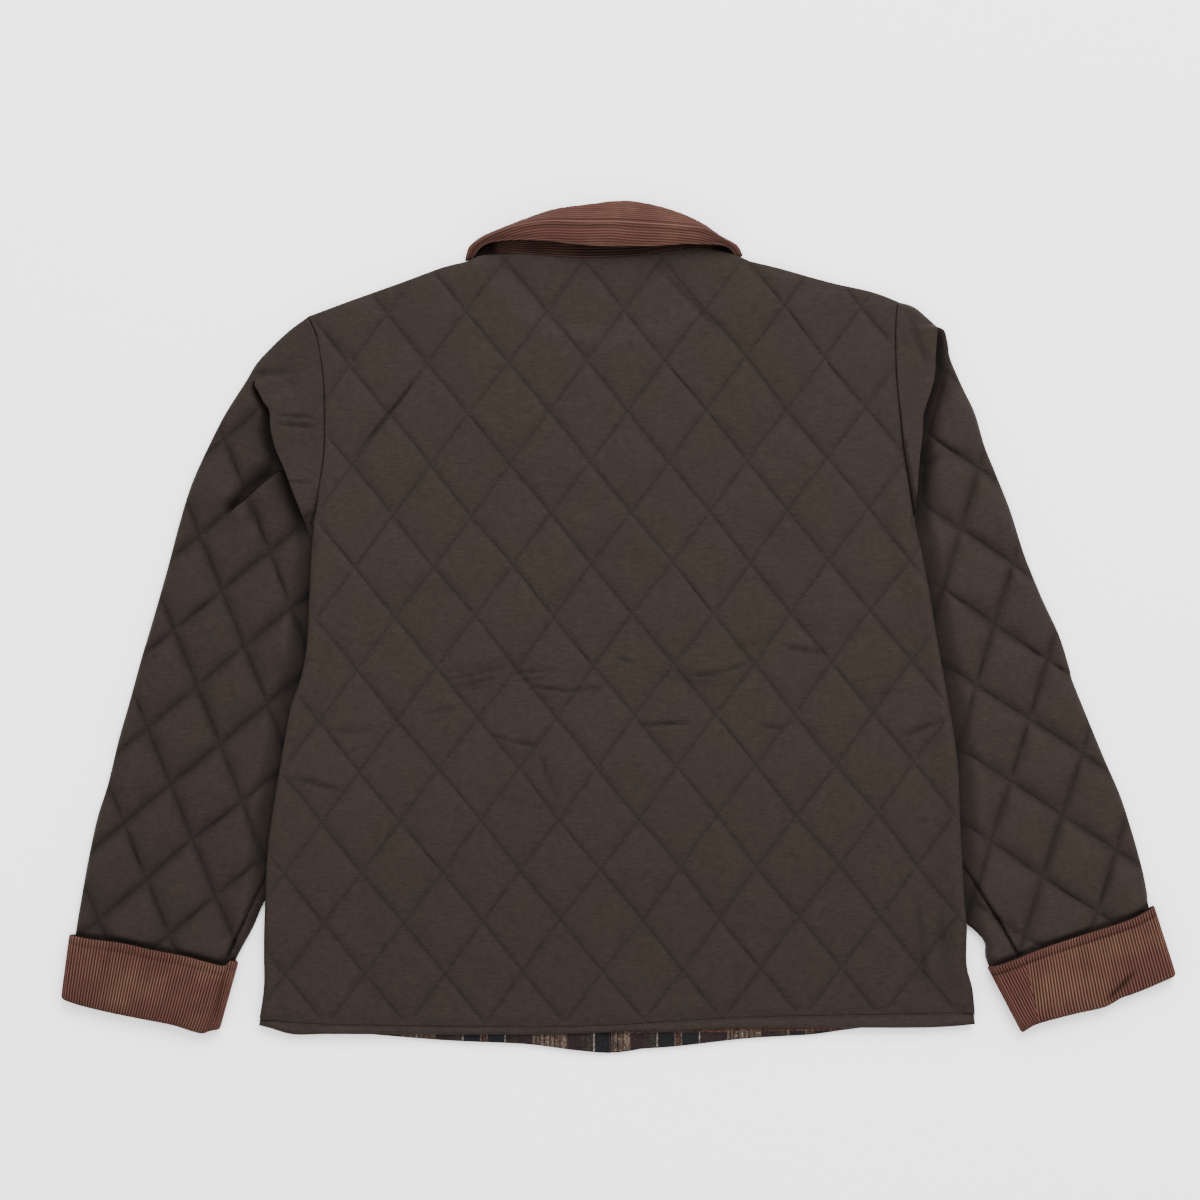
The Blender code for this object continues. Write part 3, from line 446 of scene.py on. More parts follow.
# Node groups that the cloths share: each puts out values that vary over the surface.
def group(name, inputs, outputs):
    """An empty node group with its inputs and outputs."""
    tree = bpy.data.node_groups.new(name, "ShaderNodeTree")
    for label, kind, value in inputs:
        socket = tree.interface.new_socket(label, in_out="INPUT", socket_type=kind)
        if value is not None:
            socket.default_value = value
    for label, kind in outputs:
        tree.interface.new_socket(label, in_out="OUTPUT", socket_type=kind)
    return tree, tree.nodes.new("NodeGroupInput"), tree.nodes.new("NodeGroupOutput")


def fill(tree, socket, value):
    """Link a socket to another, or give it a value of its own."""
    if isinstance(value, bpy.types.NodeSocket):
        tree.links.new(value, socket)
    else:
        socket.default_value = value


def node(tree, kind, links=(), **values):
    """A node with its properties set and its inputs linked or filled in."""
    made = tree.nodes.new(kind)
    for key, value in values.items():
        setattr(made, key, value)
    for key, value in dict(links).items():
        fill(tree, made.inputs[key], value)
    return made


def maths(tree, operation, *values):
    """One step of arithmetic."""
    return node(tree, "ShaderNodeMath", dict(enumerate(values)), operation=operation).outputs[0]


def mixed(tree, share, first, second):
    """A colour between two others."""
    mix = node(tree, "ShaderNodeMix", data_type="RGBA")
    for n, value in ((0, share), (6, first), (7, second)):
        fill(tree, mix.inputs[n], (*value, 1.0) if isinstance(value, tuple) else value)
    return mix.outputs[2]


def noise(tree, vector, scale, detail=2.0, rough=0.5):
    """Uneven values, with smaller marks the larger the scale."""
    return node(tree, "ShaderNodeTexNoise", {"Vector": vector, "Scale": scale, "Detail": detail,
                                             "Roughness": rough}).outputs[0]


def drawn_out(tree, vector, x, y):
    """Coordinates whose marks are drawn out in the direction with the small factor."""
    return node(tree, "ShaderNodeMapping", {"Vector": vector, "Scale": (x, y, 1.0)}).outputs[0]


weave, given, put_out = group(
    "plain_weave",
    [("Vector", "NodeSocketVector", None), ("Threads per metre", "NodeSocketFloat", 1700.0)],
    [("Height", "NodeSocketFloat"), ("Shade", "NodeSocketFloat")])
split = node(weave, "ShaderNodeSeparateXYZ", {0: given.outputs[0]})
turns = maths(weave, "MULTIPLY", given.outputs[1], math.pi)
warp, weft = [maths(weave, "SINE", maths(weave, "MULTIPLY", split.outputs[n], turns))
              for n in (0, 1)]
crossing = maths(weave, "MULTIPLY", warp, weft)
slubs = maths(weave, "ADD", *[
    noise(weave, drawn_out(weave, given.outputs[0], x, y), 800.0, 4.0, 0.65)
    for x, y in ((1.0, 0.08), (0.08, 1.0))])
weave.links.new(maths(weave, "MULTIPLY_ADD", crossing, 0.06, maths(weave, "MULTIPLY", slubs, 0.5)),
                put_out.inputs[0])
weave.links.new(maths(weave, "SUBTRACT", slubs, 1.0), put_out.inputs[1])

patches, given, put_out = group(
    "uneven_shade", [("Vector", "NodeSocketVector", None), ("Size", "NodeSocketFloat", 0.06),
                     ("Fine size", "NodeSocketFloat", 0.012)],
    [("Broad", "NodeSocketFloat"), ("Fine", "NodeSocketFloat")])
for n, detail in ((0, 2.0), (1, 3.0)):
    scale = maths(patches, "DIVIDE", 1.0, given.outputs[n + 1])
    patches.links.new(noise(patches, given.outputs[0], scale, detail), put_out.inputs[n])


def new_material(name, rough, specular):
    """A cloth's material: its node tree, its shader, and the coordinates that it reads."""
    material = bpy.data.materials.new(name)
    material.use_nodes = True
    tree = material.node_tree
    shader = tree.nodes["Principled BSDF"]
    shader.inputs["Roughness"].default_value = rough
    shader.inputs["Specular IOR Level"].default_value = specular
    return material, tree, shader, tree.nodes.new("ShaderNodeTexCoord")


def use(tree, source, **values):
    """A node group placed in a material with its own values."""
    made = tree.nodes.new("ShaderNodeGroup")
    made.node_tree = source
    for key, value in values.items():
        fill(tree, made.inputs[key.replace("_", " ")], value)
    return made


def painted(tree, name):
    """The values painted on the points of a piece."""
    return node(tree, "ShaderNodeAttribute", attribute_name=name).outputs["Fac"]


def tint(tree, shader, colour, light):
    """The base colour: a colour made lighter and darker over the surface."""
    made = node(tree, "ShaderNodeVectorMath", {0: colour, 1: light}, operation="MULTIPLY")
    tree.links.new(made.outputs[0], shader.inputs["Base Color"])


def bump(tree, shader, height, strength, distance):
    """A fine relief."""
    made = node(tree, "ShaderNodeBump",
                {"Height": height, "Strength": strength, "Distance": distance})
    tree.links.new(made.outputs[0], shader.inputs["Normal"])


shell_cotton, tree, shader, coords = new_material("shell_cotton", 0.7, 0.05)
spot = coords.outputs["Object"]
cloth = use(tree, weave, Vector=spot, Threads_per_metre=1700.0)
shade = use(tree, patches, Vector=spot, Size=0.07, Fine_size=0.006)
patchy = maths(tree, "MULTIPLY_ADD", shade.outputs[0], 1.8, -0.4)
tone = mixed(tree, patchy, (0.0156, 0.0097, 0.0101), (0.0139, 0.0108, 0.0080))  # plum, olive
weft = noise(tree, drawn_out(tree, spot, 0.25, 1.0), 700.0, 3.0, 0.6)
tone = mixed(tree, maths(tree, "MULTIPLY", weft, 0.35), tone, (0.0184, 0.0146, 0.0092))  # sand
light = maths(tree, "MULTIPLY_ADD", shade.outputs[1], 0.3,
              maths(tree, "MULTIPLY_ADD", cloth.outputs[1], 0.3, 0.62))
light = maths(tree, "MULTIPLY_ADD", weft, 0.75, maths(tree, "SUBTRACT", light, 0.15))
# Painted shade, read from the points, darkens the cloth.
light = maths(tree, "MULTIPLY", light,
              maths(tree, "MULTIPLY_ADD", painted(tree, "shaded"), -0.88, 1.0))
tint(tree, shader, tone, light)
shader.inputs["Sheen Weight"].default_value = 0.02
shader.inputs["Sheen Roughness"].default_value = 0.4
bump(tree, shader, cloth.outputs[0], 0.15, 0.0002)


# The silhouettes and seams of the body, which the sleeves and the fronts follow too.
lines = {name: curve(points, 5.0) for name, points in (
    ("left", BODY_LEFT), ("right", BODY_RIGHT),
    ("shoulder_left", SHOULDER_LEFT), ("shoulder_right", SHOULDER_RIGHT),
    ("armhole_left", ARMHOLE_LEFT), ("armhole_right", ARMHOLE_RIGHT))}
body_sides = [curve(np.vstack(pair), 8.0)
              for pair in ((ARMHOLE_LEFT, BODY_LEFT), (ARMHOLE_RIGHT, BODY_RIGHT))]


def back_edge(gap):
    """The closed edge of the back, moved in by a gap."""
    left, right = [np.vstack([lines["shoulder_" + side][:-1], lines["armhole_" + side],
                              lines[side][:-1]]) for side in ("left", "right")]
    hem, neck = curve(HEM_STITCH, 6.0), curve(BACK_NECK, 5.0)
    return offset(np.vstack([left, hem, right[::-1], neck[-2:0:-1]]), gap, True)


def over_leaves(p):
    """1 over the front ends of the collar, 0 away from them."""
    return 1 - soft(np.linalg.norm(p - (MIDDLE, 262.0), axis=1), 135.0, 170.0)


def back_under(p):
    """The lower side of the back: over the tucked sleeves, and down into the fronts' neck."""
    near = np.minimum(reach(p, body_sides[0]), reach(p, body_sides[1]))
    tucked = (1 - soft(near, TUCK + 1, TUCK + 14)) * soft(p[:, 1], -268, -246)
    tucked *= soft(p[:, 1], UNDERARM + 90, UNDERARM + 40)
    lift = np.maximum(1.8 * tucked, 1.5 * over_leaves(p))
    hole = within(p, np.vstack([FRONT_NECK, [(120, 330), (-130, 330)]]))
    lift -= np.where(hole, 3.2 * soft(reach(p, FRONT_NECK), 6.0, 26.0), 0)
    return FRONT_THICK + SEAM + lift


back_outline = back_edge(0.5 * SEAM)
back_quilt = Diamonds(BACK_DIAMONDS, 3, (1.0, 0.8))


def back_top(p):
    """The upper side of the back, with its edges rounded down to the seams and the hem."""
    away = reach(p, back_outline, True)
    full = BACK_WALL + back_quilt.rise(p, *BACK_PUFF) * soft(away, -6.0, 10.0)
    full += creased(p, BACK_CREASES)
    full += uneven(p, BACK_UNEVEN) * soft(away, 0, 20)
    height, at, width = SIDE_ROLL
    side_edge = np.minimum(reach(p, lines["left"]), reach(p, lines["right"]))
    full += height * peak(side_edge, at, width) * soft(p[:, 1], 80, 30)
    full = np.maximum(full, 1.2)
    edge_share = np.where(reach(p, HEM_STITCH) < 3.0, 0.93, 0.68)
    start = edge_share * full
    return back_under(p) + start + (full - start) * roll(away, 1.5)


def back_shade(p):
    """Shade in the grooves and creases, and a little towards the hem."""
    dark = 0.22 * back_quilt.nearness(p, 2.2) * soft(reach(p, back_outline, True), 1, 9)
    dark += 0.08 * soft(-p[:, 1], 60, 260)
    return dark + 0.26 * creased(p, BACK_CREASES, 0.0, 1.0, 0.4)


def back_bottom(p):
    return back_under(p) + 0.5 * (1 - roll(reach(p, back_outline, True), 1.0))


spots = kept_apart(rings(back_outline, (0.4, 1.0, 1.8, 3.2, 5.0)),
                   back_quilt.beside(back_outline, 2.0, STITCH_ROWS, 1.0), 0.7)
spots = kept_apart(spots, back_quilt.spots(back_outline, CELL_PARTS, 5.6), 1.5)
plain = kept_apart(rings(back_outline, (1.6, TUCK + 2, TUCK + 15)),
                   plain_grid(back_outline, 20.0, 8.0), 7.0)
back = flat_panel("back_cloth", back_outline, spots, plain, back_top, back_bottom, shell_cotton,
                  back_shade)
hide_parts("back")

# ---- Quilting thread -------------------------------------------------------------------
# Dark brown thread, one stitch every 3.5 mm along the diamonds. Each stitch is sunk into
# the groove that it pulls. Runs of stitches are laid along lines by a node tree.
STITCH = {"Stitch length": 1.7, "Stitch spacing": 3.5, "Thread": 0.85}

thread_material, tree, shader, coords = new_material("dark_thread", 0.7, 0.2)
twist = noise(tree, coords.outputs["Object"], 2500.0)
thread_colour = mixed(tree, twist, (0.0016, 0.0012, 0.001), (0.004, 0.003, 0.0026))
tree.links.new(thread_colour, shader.inputs["Base Color"])
bump(tree, shader, twist, 0.3, 0.0001)


def stitch_tree():
    """Stitches along the edges of a mesh: length, spacing and thickness are inputs."""
    tree = bpy.data.node_groups.new("stitches", "GeometryNodeTree")
    for label, kind in [("Runs", "Geometry"), *((label, "Float") for label in STITCH),
                        ("Material", "Material")]:
        tree.interface.new_socket(label, in_out="INPUT", socket_type="NodeSocket" + kind)
    tree.interface.new_socket("Stitches", in_out="OUTPUT", socket_type="NodeSocketGeometry")
    given, result = tree.nodes.new("NodeGroupInput"), tree.nodes.new("NodeGroupOutput")
    half_length, half_thread = [maths(tree, "MULTIPLY", given.outputs[n], 0.5) for n in (1, 3)]
    runs = node(tree, "GeometryNodeMeshToCurve", {0: given.outputs[0]})
    even = node(tree, "GeometryNodeResampleCurve",
                {0: runs.outputs[0], "Length": given.outputs[2]}, mode="LENGTH")
    ball = node(tree, "GeometryNodeMeshIcoSphere", {"Radius": 1.0, "Subdivisions": 1})
    size = node(tree, "ShaderNodeCombineXYZ", {0: half_thread, 1: half_thread, 2: half_length})
    drawn = node(tree, "GeometryNodeTransform", {0: ball.outputs[0], "Scale": size.outputs[0]})
    way = tree.nodes.new("GeometryNodeInputTangent")
    turn = node(tree, "FunctionNodeAlignRotationToVector", {"Vector": way.outputs[0]}, axis="Z")
    laid = node(tree, "GeometryNodeInstanceOnPoints",
                {"Points": even.outputs[0], "Instance": drawn.outputs[0],
                 "Rotation": turn.outputs[0]})
    real = node(tree, "GeometryNodeRealizeInstances", {0: laid.outputs[0]})
    smooth = node(tree, "GeometryNodeSetShadeSmooth", {0: real.outputs[0]})
    made = node(tree, "GeometryNodeSetMaterial",
                {0: smooth.outputs[0], "Material": given.outputs[4]})
    tree.links.new(made.outputs[0], result.inputs[0])
    return tree


stitches = stitch_tree()


def sew(name, runs, height):
    """Stitches along runs of spots that lie at a height."""
    points, edges = [], []
    for run in runs:
        first = len(points)
        points += [tuple(p) for p in np.column_stack([run, height(run)]) * MM]
        edges += [(first + i, first + i + 1) for i in range(len(run) - 1)]
    mesh = bpy.data.meshes.new(name + "_runs")
    mesh.from_pydata(points, edges, [])
    guide = link(name + "_runs", mesh)
    modifier = guide.modifiers.new("stitches", "NODES")
    modifier.node_group = stitches
    ids = {item.name: item.identifier for item in stitches.interface.items_tree
           if item.in_out == "INPUT"}
    for label, value in STITCH.items():
        modifier[ids[label]] = value * MM
    modifier[ids["Material"]] = thread_material
    depsgraph = bpy.context.evaluated_depsgraph_get()
    made = bpy.data.meshes.new_from_object(guide.evaluated_get(depsgraph))
    bpy.data.objects.remove(guide)
    piece = link(name, made)
    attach(piece, "root")


sew("back_quilting", back_quilt.lines(back_outline, 2.0), back_top)

# ---- Back hem --------------------------------------------------------------------------
# A narrow band of the same cotton along the lower edge, folded double without wadding and
# stitched along its upper edge.
BACK_HEM = np.array([
    (-294, -326), (-284, -328.5), (-266, -333.5), (-237, -333.2), (-177, -333.5), (-70, -333.5),
    (-17, -332), (18, -330.5), (34, -331.3), (85, -328.5), (144, -328), (199, -328), (244, -328),
    (272, -327), (292, -325)], float)
hem_low = FRONT_THICK + SEAM
hem_fold = curve(BACK_HEM, 6.0)
hem_edge = np.vstack([hem_fold, offset(curve(HEM_STITCH, 6.0), -0.5 * SEAM)[::-1]])


def hem_top(p):
    """The band: full along its fold, drawn in along its stitches, and puckered between."""
    below, stitched = reach(p, hem_fold), reach(p, HEM_STITCH)
    full = 3.0 + 0.5 * peak(below, 3.0, 2.5) - 0.25 * peak(stitched, 1.2, 0.8)
    puckers = 0.2 * np.sin(p[:, 0] / 2.3 + 2 * wander(p, 50, 8)) * soft(below, 6, 3)
    full += 0.22 * wander(p, 26, 21) + puckers
    start = np.where(stitched < 2.0, 2.9, 1.3)
    return hem_low + start + (full - start) * roll(reach(p, hem_edge, True), 1.6)


def hem_bottom(p):
    return hem_low + 1.0 * (1 - roll(reach(p, hem_edge, True), 1.2))


band = kept_apart(rings(hem_edge, (0.5, 1.2, 2.2, 3.6, 5.0), 0.8), plain_grid(hem_edge, 2.0, 3.9),
                  1.0)
back_hem = flat_panel("back_hem_cloth", hem_edge, band, rings(hem_edge, (1.3,), 0.8), hem_top,
                      hem_bottom, shell_cotton)
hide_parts("back_hem")
sew("hem_stitching", [offset(curve(HEM_STITCH, 5.0), -1.3)], lambda p: hem_top(p) + 0.05)

# ---- Sleeves ---------------------------------------------------------------------------
# Two tubes of quilted cotton, pressed flat. The cloth of the sleeve's head stands up in a
# fold beside the armhole, with a deep recess outside it. Towards the body each sleeve runs
# under the side of the back; towards the wrist it runs into the cuff.
SLEEVE_WALL = 7.0       # height of the sleeve's upper side between the fillings
SLEEVE_PUFF = (3.9, 0.9, 6.2, 0.16)     # fill, dome, width of the valleys, puckers
SLEEVE_UNEVEN = ((0.8, 110, 31), (0.25, 40, 32), (0.06, 14, 33))
SLEEVE_SIDE = 3.4       # height of the pressed edge
FOLD_FLOOR = 4.6        # least height of the upper side
UNDER_BACK = 5.9        # height that the back leaves for the tucked part
HOLLOW_INSET = 3.2      # the inside's distance from the edge
SEAM_ROWS = (-3, -1.5, -0.7, 0, 0.7, 1.5, 3)
SLEEVES = {
    "left": {
        "diamonds": np.array([(-345.3, -49.9), (39.2, 32.4), (18.5, -46.3)]),
        "outer": [(-254, 254), (-269, 243), (-283, 230), (-296, 216), (-305, 201), (-321, 176),
                  (-334, 151), (-349, 118), (-359, 86), (-368, 52), (-377, 20), (-386, -11),
                  (-389.5, -22), (-401, -64), (-409, -92), (-418, -129), (-427, -158), (-435, -196),
                  (-442, -236), (-445.2, -256), (-450, -290)],
        "inner": [(-276, -200), (-291, -227), (-299, -246), (-314.5, -276), (-327, -316)],
        "tuck_from": -192, "outward": -1,
        "standing": [
            ([(-300, 200), (-296, 195), (-290, 184), (-285, 176), (-284, 161), (-280, 145),
              (-274, 131), (-266, 110), (-257, 87), (-251, 64)],
             -1, 4.6, 5.4, 0.4, 24, 16, 3.2, 5, 16, 0.45),
            ([(-274, 130), (-291, 117), (-306, 103), (-323, 91)],
             -1, 3.0, 5.0, 1.4, 20, 12, 2.8, 4, 14, 1.5)],
        "folds": [(-276, 172, -249, 171, 2.2, 1.7), (-275, 165, -249, 163.5, 2.4, 1.9),
                  (-298, 206, -270, 208, 2.0, 3.0), (-268, 120, -246, 116, 1.3, 1.5),
                  (-256, 88, -247, 94, 0.9, 2.5), (-270, 222, -266, 190, 0.8, 6.0),
                  (-330, 136, -300, 160, 0.8, 4.0), (-296, 106, -300, 80, 1.4, 8.0),
                  (-262, 10, -255, -40, 2.4, 7.0), (-271, 60, -258, 20, 1.8, 6.0),
                  (-283, -18, -268, -60, 2.2, 8.0)],
        "seam": [(-283, -193), (-288, -203), (-302, -232), (-313, -255), (-320, -271)],
    },
    "right": {
        "diamonds": np.array([(308.1, 1.4), (43.1, -28.3), (-15.3, -49.7)]),
        "outer": [(229, 266), (242, 262), (253, 253), (261, 246), (267, 243), (270, 231),
                  (272, 219),
                  (282, 196), (292, 175), (300, 148), (308, 128), (320, 98), (329, 70), (334, 55),
                  (348, 21), (361, -7), (370, -36), (371.5, -43), (386, -79), (398, -108),
                  (411, -138), (421, -169), (429, -198), (433, -218), (434.6, -231), (447, -276)],
        "inner": [(270, -209), (283, -240), (291, -248), (300, -259), (302.5, -276), (328, -320)],
        "tuck_from": -200, "outward": 1,
        "standing": [
            ([(261, 247), (259.5, 226), (258.5, 206), (255.5, 193), (249.5, 174), (248.5, 157),
              (246.5, 140), (245, 120), (243.5, 92), (244, 66)],
             1, 4.6, 5.4, 0.6, 24, 15, 3.2, 3, 26, 0.85)],
        "folds": [(237, 258, 250, 214, 1.8, 2.8), (246, 126, 264, 141, 3.0, 3.0),
                  (262, 160, 272, 200, 1.2, 6.0),
                  (252, 92, 262, 128, 1.2, 7.0), (262, -20, 268, -60, 1.8, 7.0),
                  (268, -120, 276, -170, 1.6, 7.0), (292, -230, 316, -222, 0.7, 6.0)],
        "seam": [(277, -186), (284, -198), (298, -220), (312, -242), (330, -274)],
    },
}


def signed(p, line):
    """Distance to a line, positive on its left; how far along it is; and the way to its left."""
    a, span = line[:-1], line[1:] - line[:-1]
    away = p[:, None] - a
    t = np.clip((away * span).sum(2) / ((span ** 2).sum(1) + 1e-9), 0, 1)
    gap = np.linalg.norm(away - span * t[..., None], axis=2)
    k = gap.argmin(1)
    n = np.arange(len(p))
    cross = span[k, 0] * away[n, k, 1] - span[k, 1] * away[n, k, 0]
    size = np.linalg.norm(span, axis=1)
    along = np.concatenate([[0], np.cumsum(size)])[k] + t[n, k] * size[k]
    left = np.column_stack([-span[k, 1], span[k, 0]]) / size[k, None]
    return np.copysign(gap[n, k], cross), along, size.sum(), left


class Fold:
    """Cloth that climbs to a rounded lip, leans over it and drops into a recess.

    side is 1 when the recess is on the line's left; lift and sink are heights of the lip and
    the recess; spread_in and spread_out are their widths; bulge is the rise of the cloth
    beyond the recess; lean is the overhang; fade_in and fade_out are lengths over which the
    fold starts and ends; opening is the share of spread_out at its start.
    """

    def __init__(self, points, side, lift, sink, bulge, spread_in, spread_out, lean, fade_in,
                 fade_out, opening):
        self.line = offset(curve(points, 1.2), -0.8 * lean * side)
        self.side, self.lift, self.sink, self.bulge, self.lean = side, lift, sink, bulge, lean
        self.spread_in, self.spread_out = spread_in, spread_out
        self.fade_in, self.fade_out, self.opening = fade_in, fade_out, opening

    def measure(self, p):
        """Which spots are near; their way to the lip and its direction, how strong the fold
        is beside each, and how wide its recess."""
        near = (np.abs(p - self.line.mean(0)) < np.ptp(self.line, axis=0) / 2 + 45).all(1)
        away, along, length, left = signed(p[near], self.line)
        strength = soft(along, 0, self.fade_in) * (1 - soft(along, length - self.fade_out, length))
        wide = self.spread_out * (self.opening + (1 - self.opening) * soft(along, 8, 50))
        return near, away * self.side, strength, left * self.side, wide

    def height(self, p):
        """The rise of the lip and the drop of the recess."""
        near, away, strength, _, wide = self.measure(p)
        step = soft(away, -0.9, 0.9)
        high = self.lift * (1 - soft(-away, 1.0, self.spread_in)) * (0.72 + 0.28 * roll(-away, 2.5))
        low = -self.sink * (1 - soft(away, 2.0, wide))
        low += self.bulge * peak(away - wide, 2, 0.5 * wide)
        total = np.zeros(len(p))
        total[near] = strength * (high * (1 - step) + low * step)
        return total

    def shade(self, p):
        """How dark the recess is."""
        near, away, strength, _, wide = self.measure(p)
        total = np.zeros(len(p))
        total[near] = strength * soft(away, -1.2, 0.3) * (1 - soft(away, 0.2 * wide, 1.5 * wide))
        return total

    def shift(self, p):
        """How far the cloth leans out over the recess."""
        near, away, strength, way, _ = self.measure(p)
        step = soft(away, -0.9, 0.9)
        push = self.lean * ((1 - step) * (1 - soft(-away, 0.9, 12.0))
                            - 0.35 * step * (1 - soft(away, 0.9, 8.0)))
        total = np.zeros(p.shape)
        total[near] = (strength * push)[:, None] * way
        return total

    def rows(self):
        """Spots in rows beside the lip, closest where it drops."""
        gaps = (0.15, 0.5, 0.9, 1.3, 2.1, 3.2, 4.6, 6.2, 8)
        return np.vstack([offset(self.line, gap) for gap in [-gap for gap in gaps[::-1]] + [*gaps]])


CUFFS = {
    "left": {"free": [(-449, -251), (-433, -254.5), (-406, -258), (-379, -264), (-355, -268.5),
                      (-338, -273), (-321, -277), (-317, -272.5), (-310.5, -274)],
             "fold": [(-456, -304), (-442, -309), (-420, -314.5), (-393, -320), (-365, -325.5),
                      (-349, -330.5), (-340, -332.5), (-333, -330), (-326, -329.5)]},
    "right": {"free": [(438, -227), (434, -230.5), (420, -238), (400, -245), (373, -253.5),
                       (345, -263), (325, -271), (311, -276), (301.5, -278)],
              "fold": [(456.5, -285), (434, -295), (420, -300.5), (411, -303.5), (397, -311),
                       (373, -316.5), (345, -324), (336, -328), (330, -332.5)]},
}


def along_line(line):
    """How far along a line each of its points lies."""
    return np.concatenate([[0], np.cumsum(np.linalg.norm(np.diff(line, axis=0), axis=1))])


def spread(line, count):
    """Points spread evenly along a line of points, and how far along it each one lies."""
    gone = along_line(line)
    want = np.linspace(0, gone[-1], count)
    return np.column_stack([np.interp(want, gone, line[:, k]) for k in (0, 1)]), want


def cuff_edges(side, count):
    """The free edge and the fold of a cuff, as points spread evenly across it."""
    return [spread(curve(CUFFS[side][edge], 1.0), count)[0] for edge in ("free", "fold")]


def cuff_outline(side):
    free, fold = cuff_edges(side, 30)
    outline = np.vstack([free[:1], fold, free[:0:-1]])
    return outline if side == "left" else outline[::-1]


def tucked_edge(side):
    """The edge of the body where the sleeve runs in under it, and its foot's way down."""
    edge = lines[side][lines[side][:, 1] > SLEEVES[side]["tuck_from"]].copy()
    edge[:, 0] -= SLEEVES[side]["outward"] * TUCK * soft(edge[:, 1], UNDERARM + 14, UNDERARM - 6)
    return edge


def outside(p, shape):
    """Distance to a closed shape, 0 inside it."""
    return np.where(within(p, shape), 0.0, reach(p, shape, True))


